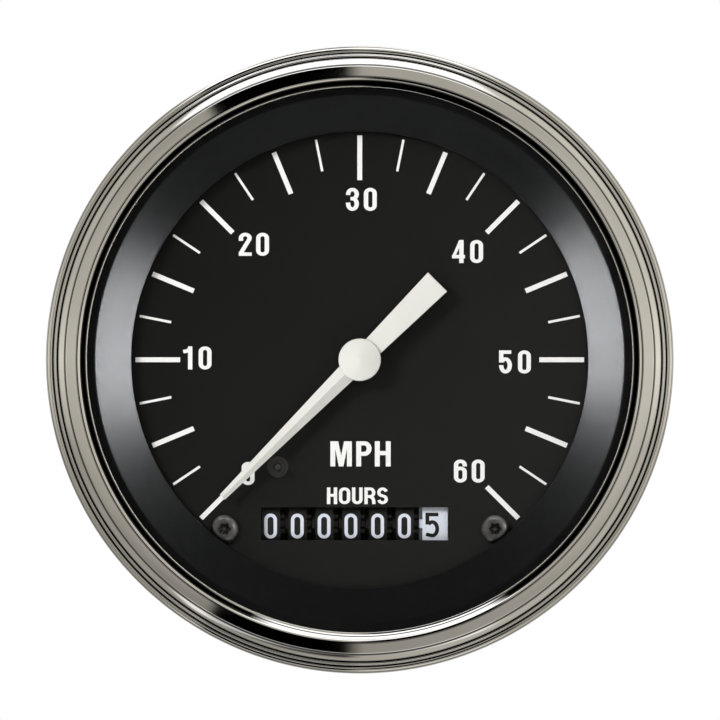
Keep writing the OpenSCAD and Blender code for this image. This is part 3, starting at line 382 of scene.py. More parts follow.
def softenedCopy(node, name, body, slot, width, angle=35):  # a node with its sharp edges rounded
    bm = bmesh.new()
    bm.from_mesh(nodes[node].data)
    bmesh.ops.remove_doubles(bm, verts=bm.verts, dist=1e-6)
    bmesh.ops.dissolve_limit(bm, angle_limit=radians(1), verts=bm.verts, edges=bm.edges)
    edges = [e for e in bm.edges if len(e.link_faces) == 2 and e.calc_face_angle() > radians(angle)]
    bmesh.ops.bevel(bm, geom=edges, offset=width / 1000, offset_type="OFFSET", segments=2, profile=0.5,
                    affect="EDGES", material=-1, clamp_overlap=True)
    finishPiece(bm, name, body, slot, [node], world=True)


hexSet = {"nutCut": 0.91, "headCut": 0.9, "headEase": 0.3, "mouth": 0.4, "sides": 48}  # cuts: shares of r


def hexNut(bm, spot, r, hole, low, high, ease):
    whole, cut = hexShape(r), hexShape(r, r * hexSet["nutCut"])
    rows = [(hole, low + ease), (hole + hexSet["mouth"], low), (cut, low), (whole, low + ease),
            (whole, high - ease), (cut, high), (hole, high)]
    stack(bm, spot, hexSet["sides"], rows, bored=True)


def hexHead(r, low, high):  # the last rows of a bolt
    whole, cut = hexShape(r), hexShape(r, r * hexSet["headCut"])
    return [(whole, low), (whole, high - hexSet["headEase"]), (cut, high)]


# Front: bezel, glass and trim ring

bezelSet = {"hemInR": 43.35, "sheet": 0.7, "sheetInR": 0.84, "sheetInZ": 1.015, "hemR": 0.63,
            "stepR": (47.25, 46.05, 45.35, 44.45), "stepZ": (3.0, 4.2, 5.4),
            "crown": (0.62, 0.42), "crownEnd": 120, "groove": 0.24,
            "slopeR": 0.2, "slopeZ": 0.70, "slopeEnd": 62, "slope": ((0.45, 0.31), (0.02, 0.135)),
            "landR": (44.45, 42.70), "landZ": 7.0, "landFall": 0.17, "edgeR": 0.45,
            "rollR": (1.3, 0.5), "rollEnds": (83, 98, 130), "rollBack": 0.14,
            "lipR": 41.05, "lipZ": 4.9, "lipEdge": 0.2, "lipWide": 0.76,
            "foot": ((41.35, 6.24), (41.11, 6.18), (41.05, 6.11)), "steps": 240}


def makeBezel(s):
    r, z = s["stepR"], s["stepZ"]
    outline = [(s["hemInR"], 0)] + arc(r[0] - s["hemR"], s["hemR"], s["hemR"], s["hemR"], -90, 0, 6)
    for i in range(2):  # two crowned beads, each ending in a flat groove
        half = (r[i] - r[i + 1] - s["groove"]) / (1 - cos(radians(s["crownEnd"])))
        outline += arc(r[i] - half, z[i] - s["crown"][i], half, s["crown"][i], 0, s["crownEnd"], 20)
        outline.append((r[i + 1], outline[-1][1]))
    outline += arc(r[2] - s["slopeR"], z[2] - s["slopeZ"], s["slopeR"], s["slopeR"], 0, s["slopeEnd"], 6)
    outline += [(r[3] + out, z[2] - drop) for out, drop in s["slope"]]  # the slope up to the land
    wide, tight = s["rollR"]  # the roll inwards starts wide and ends tight
    first, bend, last = s["rollEnds"]
    edge = s["edgeR"]
    outline += arc(s["landR"][0] - edge, s["landZ"] - s["landFall"] - edge, edge, edge, 0, first, 8)
    outline += arc(s["landR"][1] - wide * cos(radians(first)), s["landZ"] - wide, wide, wide, first, bend, 6)
    x, y = outline[-1]
    x, y = x - tight * cos(radians(bend)), y - tight * sin(radians(bend))
    outline += arc(x, y, tight, tight, bend, last, 9)[1:]
    landIn = s["landZ"] - s["sheetInZ"]
    outline += [*s["foot"], (s["lipR"], s["lipZ"] + s["lipEdge"]), (s["lipR"] + s["lipEdge"], s["lipZ"]),
                (s["lipR"] + s["lipWide"], s["lipZ"]), (s["landR"][1] + s["rollBack"], landIn),
                (s["landR"][0] - s["sheetInR"], landIn)]
    outline += [(r[i] - s["sheetInR"], z[i] - s["sheetInZ"]) for i in (2, 1, 0)]
    outline += [(r[0] - s["sheetInR"], s["sheet"]), (s["hemInR"], s["sheet"])]
    bm = bmesh.new()
    turn(bm, outline, s["steps"])
    finishPiece(bm, "bezelShell", "instrument", "chrome", ["bezel"], sharp=24)


lensSet = {"r": 43.41, "backZ": 2.9, "frontZ": 4.9, "edgeR": 0.3, "steps": 128}


def makeLens(s):
    e = s["edgeR"]
    outline = [(0, s["backZ"])] + arc(s["r"] - e, s["backZ"] + e, e, e, -90, 0, 4)
    outline += arc(s["r"] - e, s["frontZ"] - e, e, e, 0, 90, 4) + [(0, s["frontZ"])]
    bm = bmesh.new()
    turn(bm, outline, s["steps"], closed=False)
    finishPiece(bm, "lensPane", "instrument", "clear_glass", ["glass"], sharp=6)


trimSet = {"outR": 43.41, "boreR": 41.4, "sheet": 0.6, "topZ": 2.1, "backZ": 1.5, "ledgeR": 39.95,
           "openR": 34.45, "edgeZ": -1.8, "edgeT": 0.5, "roundR": 0.8, "lipRound": 0.16, "lipDrop": 0.4,
           "backIn": 0.35, "backStep": 0.1, "footZ": -4.0, "steps": 192}


def makeTrim(s):
    slope = atan2(s["topZ"] - s["edgeZ"], s["ledgeR"] - s["openR"]) * 180 / pi
    bend = s["ledgeR"] + s["roundR"] * sin(radians(slope)) / (1 + cos(radians(slope)))
    q = s["lipRound"]
    outline = [(s["outR"], s["backZ"]), (s["outR"], s["topZ"])]
    outline += arc(bend, s["topZ"] - s["roundR"], s["roundR"], s["roundR"], 90, 90 + slope, 10)
    outline += arc(s["openR"] + q, s["edgeZ"] - q * s["lipDrop"], q, q, 90 + slope, 180, 5)
    inZ = s["backZ"] - s["backStep"]
    outline += [(s["openR"], s["edgeZ"] - s["edgeT"]), (s["ledgeR"] - s["backIn"], inZ),
                (s["boreR"] - s["sheet"], inZ), (s["boreR"] - s["sheet"], s["footZ"]),
                (s["boreR"], s["footZ"]), (s["boreR"], s["backZ"])]
    bm = bmesh.new()
    turn(bm, outline, s["steps"])
    return finishPiece(bm, "trimRing", "instrument", "satin_black", ["trim_ring"])


makeBezel(bezelSet)
makeLens(lensSet)
trimRing = makeTrim(trimSet)
print("front made")


# Lettering: strokes of a flat pen, in units of the letter's height

def glyph(sign, w, px, py):  # centre lines of a sign w wide, drawn with a pen px by py; True closes a line
    left, right, low, top, mid = px / 2, w - px / 2, py / 2, 1 - py / 2, w / 2
    r = (right - left) / 2
    bold = px > 0.28 * w
    ry = r * (0.85 if bold else 1.0)
    waist = 0.53
    up, down = (top - waist) / 2, (waist - low) / 2

    def post(x):
        return [(x, 0), (x, 0.5), (x, 1)], False

    def bar(y, start=0, end=w):
        return [(start, y), ((start + end) / 2, y), (end, y)], False

    if sign in "0O":
        return [(arc(mid, top - ry, r, ry, 0, 180, 10) + arc(mid, low + ry, r, ry, 180, 360, 10), True)]
    if sign == "1":
        stem = w * 0.62
        return [post(stem),
                ([(stem - 0.30, 0.775), (stem - 0.14, 0.80), (stem, 0.90)], False)]
    if sign == "2":
        return [([(left, 0.65), (left, top - ry)] + arc(mid, top - ry, r, ry, 165, -38, 12)
                 + [(left + 0.07, py * 1.6), (left, py * 0.8), (left, 0)], False), bar(low)]
    if sign == "3":
        return [([(left, 0.69), (left, top - up)] + arc(mid, top - up, r, up, 165, -90, 14), False),
                (arc(mid, low + down, r, down, 90, -165, 14) + [(left, low + down), (left, 0.36)], False),
                ([(w * 0.34, waist), (w * 0.42, waist), (mid, waist)], False)]
    if sign == "4":
        stem, level = right - 0.06, 0.28
        return [post(stem), bar(level),
                ([(px * 0.4, level + 0.02), (stem * 0.54, 0.62), (stem - 0.043, 0.965)], False, 0.72)]
    if sign == "5":
        bowl = (0.625 - low) / 2
        foot = [(left, low + bowl), (left, low + bowl + 0.01)] if bold else [(px * 0.15, low + 0.055)]
        return [([(left, top), (mid, top), (w - 0.03, top)], False),
                ([(left, 1), (left, 0.8), (left, 0.475 if bold else 0.52)], False),
                (arc(mid, low + bowl, r, bowl, 140, -165 if bold else -108, 16) + foot, False)]
    if sign in "69":
        lines = [(arc(mid, 0.62 - ry, r, ry, 0, 180, 10) + arc(mid, low + ry, r, ry, 180, 360, 10), True),
                 ([(left, low + ry), (left, 0.55)] + arc(mid, top - ry, r, ry, 180, 15, 12)
                  + [(right, top - ry), (right, 0.70)], False)]
        return lines if sign == "6" else [([(w - x, 1 - y) for x, y in line], end) for line, end in lines]
    if sign == "7":
        return [bar(top),
                ([(right, 1 - py * 0.8), (mid + 0.04, 0.5), (mid - 0.06, 0.25), (mid - 0.09, 0)], False)]
    if sign == "8":
        return [(arc(mid, top - up, r * 0.94, up, 0, 360, 18)[:-1], True),
                (arc(mid, low + down, r, down, 0, 360, 18)[:-1], True)]
    if sign == "M":
        inner = px * 1.16
        return [post(left), post(right),
                ([(inner, 1), (inner, 0.98), (mid - 0.006, 0.02), (mid - 0.006, 0)], False, 0.9),
                ([(w - inner, 1), (w - inner, 0.98), (mid + 0.006, 0.02), (mid + 0.006, 0)], False, 0.9)]
    if sign == "H":
        return [post(left), post(right), bar(waist, left, right)]
    if sign == "U":
        bowl = arc(mid, low + ry, r, ry, 180, 360, 12)
        return [([(left, 1), (left, 0.6), *bowl, (right, 0.6), (right, 1)], False)]
    if sign in "PR":
        bowl = (top - (0.46 if sign == "R" else 0.50)) / 2
        lines = [post(left),
                 ([(left, top), (mid, top)] + arc(right - r * 0.9, top - bowl, r * 0.9, bowl, 90, -90, 10)
                  + [(left, top - 2 * bowl)], False)]
        leg = [(mid, 0.46), (right - 0.06, 0.36), (right, 0.2), (right + 0.01, 0)]
        return lines + ([(leg, False)] if sign == "R" else [])
    up = (top - low) / 4  # what is left is S
    return [(arc(mid, top - up, r, up, 12, 235, 14) + arc(mid, low + up, r, up, 50, -168, 14), False)]


mitre = 0.45  # keeps a stroke's corners from reaching out too far
layerSet = {"sink": 0.02, "rise": 0.006}  # heights of a sign's strokes, so that no two share a plane


def strokeFaces(bm, line, closed, px, py, corner, height, z):  # a flat ribbon along a centre line
    count = len(line)
    pairs = []
    for i, (x, y) in enumerate(line):
        before = line[i - 1] if i or closed else line[0]
        after = line[(i + 1) % count] if i < count - 1 or closed else line[-1]
        sides = []
        for p, q in ((before, (x, y)), ((x, y), after)):
            length = hypot(q[0] - p[0], q[1] - p[1])
            if length > 1e-9:
                sides.append(Vector((-(q[1] - p[1]) / length, (q[0] - p[0]) / length)))
        normal = sum(sides, Vector((0, 0))).normalized()
        reach = 1 / max(mitre, normal.dot(sides[0]))
        dx, dy = normal.x * px / 2 * reach, normal.y * py / 2 * reach
        pairs.append([bm.verts.new((corner[0] + (x + k * dx) * height, corner[1] + (y + k * dy) * height, z))
                      for k in (1, -1)])
    for i in range(count if closed else count - 1):
        a, b = pairs[i], pairs[(i + 1) % count]
        bm.faces.new((a[0], a[1], b[1], b[0]))


def word(bm, text, widths, gap, height, pen, centre):  # flat signs set in a row about a centre, in mm
    gaps = gap if isinstance(gap, tuple) else (gap,) * (len(text) - 1)
    x = centre[0] - (sum(widths) + sum(gaps)) / 2
    low = centre[1] - height / 2
    px, py = pen[0] / height, pen[1] / height
    for sign, wide, after in zip(text, widths, (*gaps, 0)):
        for step, (line, closed, *thin) in enumerate(glyph(sign, wide / height, px, py)):
            share = thin[0] if thin else 1
            z = step * layerSet["rise"] - layerSet["sink"]
            strokeFaces(bm, line, closed, px * share, py * share, (x, low), height, z)
        x += wide + after


def thicken(bm, thick):
    for face in bm.faces:
        if face.normal.z < 0:
            face.normal_flip()
    made = bmesh.ops.extrude_face_region(bm, geom=list(bm.faces))["geom"]
    bmesh.ops.translate(bm, verts=vertsIn(made), vec=(0, 0, thick))


inkSet = {"dialZ": -4.0, "thick": 0.05}


def printOnDial(bm, name):
    bm.normal_update()
    thicken(bm, inkSet["thick"])
    bmesh.ops.translate(bm, verts=bm.verts, vec=(0, 0, inkSet["dialZ"]))
    finishPiece(bm, name, "instrument", "white_print")


scaleSet = {"height": 3.48, "digitW": 1.95, "oneW": 1.5, "pen": (0.66, 0.52),
            "signs": {"0": (-16.85, -17.16, 0), "10": (-24.44, 0.27, 0.70), "20": (-15.97, 17.42, 0.66),
                      "30": (0.25, 24.2, 0.74), "40": (16.27, 16.33, 0.78), "50": (23.42, -0.33, 0.90),
                      "60": (16.53, -16.80, 0.74)}}


def makeNumerals(s):
    bm = bmesh.new()
    for text, (x, y, gap) in s["signs"].items():
        widths = [s["oneW"] if sign == "1" else s["digitW"] for sign in text]
        word(bm, text, widths, gap, s["height"], s["pen"], (x, y))
    printOnDial(bm, "dialNumerals")


wordSet = {"words": (("MPH", (3.24, 2.32, 2.39), (0.66, 0.49), 3.80, (0.74, 0.62), (0.12, -14.2)),
                     ("HOURS", (1.54, 1.70, 1.60, 1.66, 1.62), 0.27, 2.52, (0.51, 0.43), (-0.35, -20.53)))}


def makeWords(s):
    bm = bmesh.new()
    for text, widths, gap, height, pen, centre in s["words"]:
        word(bm, text, widths, gap, height, pen, centre)
    printOnDial(bm, "dialWords")


makeNumerals(scaleSet)
makeWords(wordSet)

drumSet = {"axisY": -24.75, "axisZ": -13.2, "r": 8.0, "ink": 0.04, "pitch": 36.0, "drop": 2.6,
           "longEdge": 0.8, "cuts": 3, "firstX": -13.46, "step": 4.04, "lastX": 10.95,
           "whole": (1.94, 3.80, (0.52, 0.50), 0),  # width, height, pen and the digit shown
           "last": (2.06, 3.75, (0.57, 0.55), 5.03),
           "drums": ("hundred_thousands", "ten_thousands", "thousands", "hundreds", "tens", "ones")}


def makeDrumDigits(s, drum, slot, x, wide, high, pen, shown):
    bm = bmesh.new()
    for digit in range(10):  # laid flat first, each digit below the one before it
        drop = (digit - shown) * radians(s["pitch"]) * s["r"] + s["drop"] * s["r"] * pi / 180
        word(bm, str(digit), [wide], 0, high, pen, (x, -drop))
    bm.normal_update()
    long = [e for e in bm.edges if e.calc_length() > s["longEdge"]]
    bmesh.ops.subdivide_edges(bm, edges=long, cuts=s["cuts"])
    bmesh.ops.triangulate(bm, faces=[f for f in bm.faces if len(f.verts) > 4])
    bm.normal_update()
    thicken(bm, s["ink"])
    for v in bm.verts:  # then wrapped round the drum
        a, r = v.co.y / s["r"], s["r"] + v.co.z
        v.co = (v.co.x, s["axisY"] + r * sin(a), s["axisZ"] + r * cos(a))
    finishPiece(bm, "digits_" + drum, drum + "_drum", slot)


for i, drum in enumerate(drumSet["drums"]):
    makeDrumDigits(drumSet, drum, "drum_white", drumSet["firstX"] + i * drumSet["step"], *drumSet["whole"])
makeDrumDigits(drumSet, "tenths", "drum_black", drumSet["lastX"], *drumSet["last"])
print("lettering made")


# Pointer, dial screws and stop pin

pointerSet = {"angle": 225.0, "backZ": -1.2, "sideZ": -1.06, "frontZ": -0.4, "tip": 29.3, "tipBevel": 0.9,
              "rootW": 2.88, "tipW": 1.07, "tail": 16.6, "tailW": 4.10, "capR": 3.2, "hubR": 2.6,
              "edge": 0.12, "hubSides": 64}


def makePointer(s):
    bm = bmesh.new()
    half, tip = s["rootW"] / 2, s["tipW"] / 2
    arm = [(0, -half), (s["capR"], -half), (s["tip"], -tip), (s["tip"], tip), (s["capR"], half), (0, half)]
    face = bm.faces.new([bm.verts.new((x, y, s["backZ"])) for x, y in arm])
    made = bmesh.ops.extrude_face_region(bm, geom=[face])["geom"]
    bmesh.ops.translate(bm, verts=vertsIn(made), vec=(0, 0, s["sideZ"] - s["backZ"]))
    for point, way in (((0, 0, 0), (0, 1, 0)), ((s["tip"] - s["tipBevel"], 0, 0), (1, 0, 0))):
        bmesh.ops.bisect_plane(bm, geom=bm.verts[:] + bm.edges[:] + bm.faces[:], plane_co=point, plane_no=way)
    for v in bm.verts:  # the ridge along the arm, falling away at the tip
        if abs(v.co.y) < 1e-4 and v.co.z > s["sideZ"] - 1e-3 and v.co.x < s["tip"] - 0.1:
            v.co.z = s["frontZ"]
    tail = [(0, half), (-s["tail"], s["tailW"] / 2), (-s["tail"], -s["tailW"] / 2), (0, -half)]
    face = bm.faces.new([bm.verts.new((x, y, s["backZ"])) for x, y in tail])
    made = bmesh.ops.extrude_face_region(bm, geom=[face])["geom"]
    top = vertsIn(made)
    bmesh.ops.translate(bm, verts=top, vec=(0, 0, s["frontZ"] - s["backZ"]))
    rim = [e for e in bm.edges if all(v in top for v in e.verts)]
    bmesh.ops.bevel(bm, geom=rim, offset=s["edge"], offset_type="OFFSET", segments=2, profile=0.5,
                    affect="EDGES", material=-1)
    stack(bm, (0, 0), s["hubSides"], [(s["hubR"], s["backZ"]), (s["hubR"], s["frontZ"])])
    bmesh.ops.rotate(bm, verts=bm.verts, cent=(0, 0, 0), matrix=Matrix.Rotation(radians(s["angle"]), 3, "Z"))
    finishPiece(bm, "pointerBlade", "pointer", "pointer_white", ["pointer_blade"], sharp=6)


capSet = {"r": 3.2, "lowZ": -0.4, "sideZ": 0.0, "topZ": 1.1, "round": 0.22, "coneFrom": 74,
          "tip": ((0.35, 0.06), (0.175, 0.01), (0, 0)), "steps": 96}


def makeCap(s):
    bm = bmesh.new()
    outline = [(0, s["lowZ"]), (s["r"], s["lowZ"])]
    outline += arc(s["r"] - s["round"], s["sideZ"], s["round"], s["round"], 0, s["coneFrom"], 5)
    outline += [(r, s["topZ"] - drop) for r, drop in s["tip"]]
    turn(bm, outline, s["steps"], closed=False)
    finishPiece(bm, "pointerCap", "pointer", "pointer_white", ["pointer_cap"], sharp=30)


screwSet = {"spots": ((-20.44, -25.54), (20.44, -25.54)), "headR": 2.1, "faceZ": -4.0, "topZ": -2.7,
            "round": 1.64, "dome": (45, 85), "socketR": 0.80, "lobe": 0.13, "lobes": 6, "rim": (0.1, 0.08),
            "depth": 0.9, "pit": (0.2, 0.33), "shankR": 1.0, "shankZ": -8.8, "sides": 72}


def makeDialScrews(s):
    bm = bmesh.new()
    start, end = s["dome"]
    star = lobeShape(s["socketR"], s["lobe"], s["lobes"])
    rim = lobeShape(s["socketR"] + s["rim"][0], s["lobe"], s["lobes"])
    floor = s["topZ"] - s["depth"]
    for spot in s["spots"]:
        rows = [(s["shankR"], s["shankZ"]), (s["shankR"], s["faceZ"]), (s["headR"], s["faceZ"])]
        rows += arc(s["headR"] - s["round"] * cos(radians(start)), s["topZ"] - s["round"] * sin(radians(end)),
                    s["round"], s["round"], start, end, 8)
        rows += [(rim, s["topZ"]), (star, s["topZ"] - s["rim"][1]), (star, floor),
                 (s["pit"][0], floor - s["pit"][1])]
        stack(bm, spot, s["sides"], rows)
    return finishPiece(bm, "dialScrews", "instrument", "screw_steel", ["dial_screws"], sharp=28)


stopSet = {"dist": 20.36, "angle": 232.66, "pinR": 0.5, "collarR": 1.6, "dialZ": -4.0, "collarT": 0.2,
           "topZ": -0.35, "footZ": -5.2, "collarEdge": 0.12, "fillet": 0.35, "topEdge": 0.2, "steps": 48}


def makeStop(s):
    bm = bmesh.new()
    a, collarZ = radians(s["angle"]), s["dialZ"] + s["collarT"]
    edge, fillet, tip = s["collarEdge"], s["fillet"], s["topEdge"]
    outline = [(0, s["footZ"]), (s["pinR"], s["footZ"]), (s["pinR"], s["dialZ"]), (s["collarR"], s["dialZ"])]
    outline += arc(s["collarR"] - edge, collarZ - edge, edge, edge, 0, 90, 4)
    outline += arc(s["pinR"] + fillet, collarZ + fillet, fillet, fillet, 270, 180, 5)
    outline += arc(s["pinR"] - tip, s["topZ"] - tip, tip, tip, 0, 90, 4) + [(0, s["topZ"])]
    turn(bm, outline, s["steps"], (s["dist"] * cos(a), s["dist"] * sin(a)), closed=False)
    return finishPiece(bm, "stopPin", "instrument", "dark_plastic", ["stop_pin"])


makePointer(pointerSet)
makeCap(capSet)
dialScrews = makeDialScrews(screwSet)
stopPin = makeStop(stopSet)
print("pointer and dial fittings made")


# Rear: studs, clamp, terminals, lamps and button

studSet = {"x": 24.0, "r": 2.4, "rootR": 2.0, "coreR": 2.06, "pitch": 0.8, "point": 0.5, "shoulder": 0.2,
           "threadIn": (0.1, 0.3), "endZ": -74.0, "rearZ": -54.0, "chassisZ": (-26.0, -27.2), "floorZ": -53.2,
           "headH": 2.0, "hexR": 4.44, "nutH": 3.0, "nutHole": 2.45, "nutEase": 0.4, "spacerR": 4.0}


def makeStuds(s):
    studs, nuts = bmesh.new(), bmesh.new()
    front, back = s["chassisZ"]
    for side in (-1, 1):
        spot = (side * s["x"], 0)
        rows = [(s["coreR"] - s["point"], s["endZ"]), (s["coreR"], s["endZ"] + s["point"]),
                (s["coreR"], s["rearZ"] - s["shoulder"]), (s["r"], s["rearZ"]), (s["r"], s["floorZ"]),
                (s["spacerR"], s["floorZ"]), (s["spacerR"], back), (s["r"], back), (s["r"], front)]
        stack(studs, spot, hexSet["sides"], rows + hexHead(s["hexR"], front, front + s["headH"]))
        thread(studs, spot, s["r"], s["rootR"], s["endZ"] + s["threadIn"][0], s["rearZ"] + s["threadIn"][1],
               s["pitch"])
        hexNut(nuts, spot, s["hexR"], s["nutHole"], s["rearZ"] - s["nutH"], s["rearZ"], s["nutEase"])
    finishPiece(studs, "mountingStuds", "instrument", "zinc_steel", ["mounting_studs"])
    finishPiece(nuts, "studNuts", "instrument", "zinc_steel", ["stud_nuts"], sharp=20)


clampSet = {"stripEdge": 0.22, "x": 24.0, "backZ": -59.2, "washerR": 5.28, "washerHole": 2.6, "washerT": 1.0,
            "washerEdge": 0.16, "washerSides": 64, "nutR": 6.0, "nutH": 7.0, "holeR": 2.5, "collarR": 4.5,
            "collarH": 2.45, "collarEdge": 0.2, "knurl": 0.16, "teeth": 54, "sidesPerTooth": 4,
            "face": ((2.5, 0.5), (3.0, 0.1), (3.9, 0.1), (4.2, 0.0), (5.2, 0.0)),  # radius, and how far in
            "shoulder": (5.62, 0.05), "shoulderIn": (0.22, 0.2), "ridgeIn": 0.55, "rimR": 5.2}


def makeClamp(s):
    softenedCopy("clamp_bracket", "clampStrip", "clamp", "zinc_steel", s["stripEdge"])
    washers, nuts = bmesh.new(), bmesh.new()
    low, high, e = s["backZ"] - s["washerT"], s["backZ"], s["washerEdge"]
    inner, outer = s["washerHole"], s["washerR"]
    top, end, neck = low, low - s["nutH"], low - s["collarH"]  # the thumb nut starts where the washer ends
    ridge = lobeShape(s["nutR"] - s["knurl"], s["knurl"], s["teeth"])
    shoulder = lobeShape(*s["shoulder"], s["teeth"])
    collar, q = s["collarR"], s["collarEdge"]
    for side in (-1, 1):
        spot = (side * s["x"], 0)
        rows = [(inner, low + e), (inner + e, low), (outer - e, low), (outer, low + e), (outer, high - e),
                (outer - e, high), (inner + e, high), (inner, high - e)]
        stack(washers, spot, s["washerSides"], rows, bored=True)
        rows = [(r, end + inside) for r, inside in s["face"]]
        rows += [(shoulder, end + s["shoulderIn"][0]), (ridge, end + s["ridgeIn"]),
                 (ridge, neck - s["ridgeIn"]), (shoulder, neck - s["shoulderIn"][1]),
                 (s["rimR"], neck), (collar + q, neck), (collar, neck + q), (collar, top - q),
                 (collar - q, top), (s["holeR"], top)]
        stack(nuts, spot, s["sidesPerTooth"] * s["teeth"], rows, bored=True)
    finishPiece(washers, "clampWashers", "clamp", "zinc_steel", ["clamp_washers"])
    finishPiece(nuts, "thumbNuts", "clamp", "brass", ["thumb_nuts"], sharp=40)


terminalSet = {"blockEdge": (0.35, 50), "xs": (-12.0, -4.0, 4.0, 12.0), "y": -20.0, "r": 2.0,
               "rootR": 1.66, "coreR": 1.71, "ridgeR": 1.98, "pitch": 0.7, "point": 0.5, "shoulder": (0.3, 0.6),
               "threadIn": (0.1, 0.9), "nutR": 3.6, "nutH": 2.4, "nutEase": 0.35, "holeR": 2.05,
               "blockZ": -59.0, "endZ": -68.0, "boardZ": -43.0, "headH": 1.8}


def makeTerminals(s):
    softenedCopy("terminal_block", "terminalBlock", "instrument", "brown_resin", *s["blockEdge"])
    bolts, nuts = bmesh.new(), bmesh.new()
    low = s["blockZ"] - s["nutH"]
    for x in s["xs"]:
        spot = (x, s["y"])
        rows = [(s["coreR"] - s["point"], s["endZ"]), (s["coreR"], s["endZ"] + s["point"]),
                (s["coreR"], low + s["shoulder"][0]), (s["r"], low + s["shoulder"][1]), (s["r"], s["boardZ"])]
        stack(bolts, spot, hexSet["sides"], rows + hexHead(s["nutR"], s["boardZ"], s["boardZ"] + s["headH"]))
        thread(bolts, spot, s["ridgeR"], s["rootR"], s["endZ"] + s["threadIn"][0], low + s["threadIn"][1],
               s["pitch"])
        hexNut(nuts, spot, s["nutR"], s["holeR"], low, s["blockZ"], s["nutEase"])
    finishPiece(bolts, "terminalBolts", "instrument", "brass", ["terminal_bolts"])
    finishPiece(nuts, "terminalNuts", "instrument", "brass", ["terminal_nuts"], sharp=20)


lampSet = {"spots": ((-20.0, 24.5), (20.0, 24.5)), "rearZ": -54.0, "flangeR": 7.2, "flangeT": 1.5,
           "flangeEdge": (0.3, 0.15), "gripR": 4.96, "gripL": 6.0, "gripIn": (0.5, 0.1), "flare": 0.3,
           "flute": 0.22, "flutes": 18, "sidesPerFlute": 8, "barrelR": 6.2, "barrelL": 13.0, "barrelEdge": 0.2,
           "boreR": 4.7, "boreZ": -50.1,
           "face": ((1.2, 0.7), (1.5, 0.1), (3.6, 0.1), (3.9, 0.0), (4.36, 0.0))}  # radius, and how far in


def makeLamps(s):
    bm = bmesh.new()
    rear, end, flange = s["rearZ"], s["rearZ"] - s["gripL"], s["rearZ"] - s["flangeT"]
    front, e = rear + s["barrelL"], s["barrelEdge"]
    outer, inner = s["flangeEdge"]
    grip = lobeShape(s["gripR"] - s["flute"], s["flute"], s["flutes"])
    for spot in s["spots"]:
        rows = [(r, end + inside) for r, inside in s["face"]]
        rows += [(grip, end + s["gripIn"][0]), (grip, flange - s["gripIn"][1]),
                 (s["gripR"] + s["flare"], flange), (s["flangeR"] - outer, flange),
                 (s["flangeR"], flange + outer), (s["flangeR"], rear - inner), (s["flangeR"] - inner, rear),
                 (s["barrelR"], rear), (s["barrelR"], front - e), (s["barrelR"] - e, front),
                 (s["boreR"], front), (s["boreR"], s["boreZ"])]
        stack(bm, spot, s["sidesPerFlute"] * s["flutes"], rows)
    finishPiece(bm, "lampSockets", "instrument", "dark_plastic", ["lamp_sockets"])


buttonSet = {"spot": (0.0, 12.0), "r": 1.75, "endZ": -55.2, "inZ": -47.3, "inEdge": 0.1, "dome": 0.3,
             "domeEnd": -70, "side": 0.2, "face": ((0.8, 0.05), (0.6, 0.0), (0.0, 0.0)), "steps": 48}


def makeButton(s):
    bm = bmesh.new()
    e, q = s["inEdge"], s["dome"]
    outline = [(0, s["inZ"]), (s["r"] - e, s["inZ"]), (s["r"], s["inZ"] - e),
               (s["r"], s["endZ"] + q + s["side"])]
    outline += arc(s["r"] - q, s["endZ"] + q, q, q, 0, s["domeEnd"], 5)
    outline += [(r, s["endZ"] + inside) for r, inside in s["face"]]
    turn(bm, outline, s["steps"], s["spot"], closed=False)
    finishPiece(bm, "calibrationButton", "button", "red_plastic", ["calibration_button"])


already = set(scene.objects)
makeStuds(studSet)
makeClamp(clampSet)
makeTerminals(terminalSet)
makeLamps(lampSet)
makeButton(buttonSet)
rearPieces = [nodes["case"], *(obj for obj in scene.objects if obj not in already)]
print("rear fittings made")


# Studio: white world, pale floor, rooms seen only in reflections, soft boxes and the camera

studio = {"ambient": 0.30, "floorY": 0.02, "floorZ": -0.11, "floorR": 0.9, "floorGlow": 0.42,
          "floorFade": ((0.25, 1), (0.88, 0)), "aim": (0, -0.004, 0), "cardR": 0.16, "cardAway": 1.5,
          "beige": (1.0, 0.96, 0.86), "cool": (0.94, 0.97, 1.0), "white": (1, 1, 1)}


def faceAim(obj, offAxis, clock, distance):  # degrees off the line of sight, and round it from the right
    p, t = radians(offAxis), radians(clock)
    way = Vector((sin(p) * cos(t), -cos(p), sin(p) * sin(t)))
    obj.location = Vector(studio["aim"]) + way * distance
    obj.rotation_mode = "QUATERNION"
    obj.rotation_quaternion = way.to_track_quat("Z", "Y")


def softBox(name, offAxis, clock, distance, wide, high, glow, colour, inChrome):
    lamp = bpy.data.lights.new(name, "AREA")
    lamp.shape, lamp.size, lamp.size_y = "RECTANGLE", wide, high
    lamp.energy = glow * pi * wide * high
    lamp.color = colour
    box = bpy.data.objects.new(name, lamp)
    scene.collection.objects.link(box)
    faceAim(box, offAxis, clock, distance)
    box.visible_camera = False
    box.visible_glossy = inChrome
    return box


def mirroredOnly(name, bm, paint, receivers=()):  # seen only in reflections, and there by the receivers alone
    card = placed(bm, name, paint)
    card.visible_camera = card.visible_diffuse = card.visible_shadow = card.visible_transmission = False
    if receivers:
        lightOnly(card, receivers)
    return card


def lightOnly(source, receivers):
    source.light_linking.receiver_collection = bpy.data.collections.new(source.name + "Lit")
    for piece in receivers:
        source.light_linking.receiver_collection.objects.link(piece)


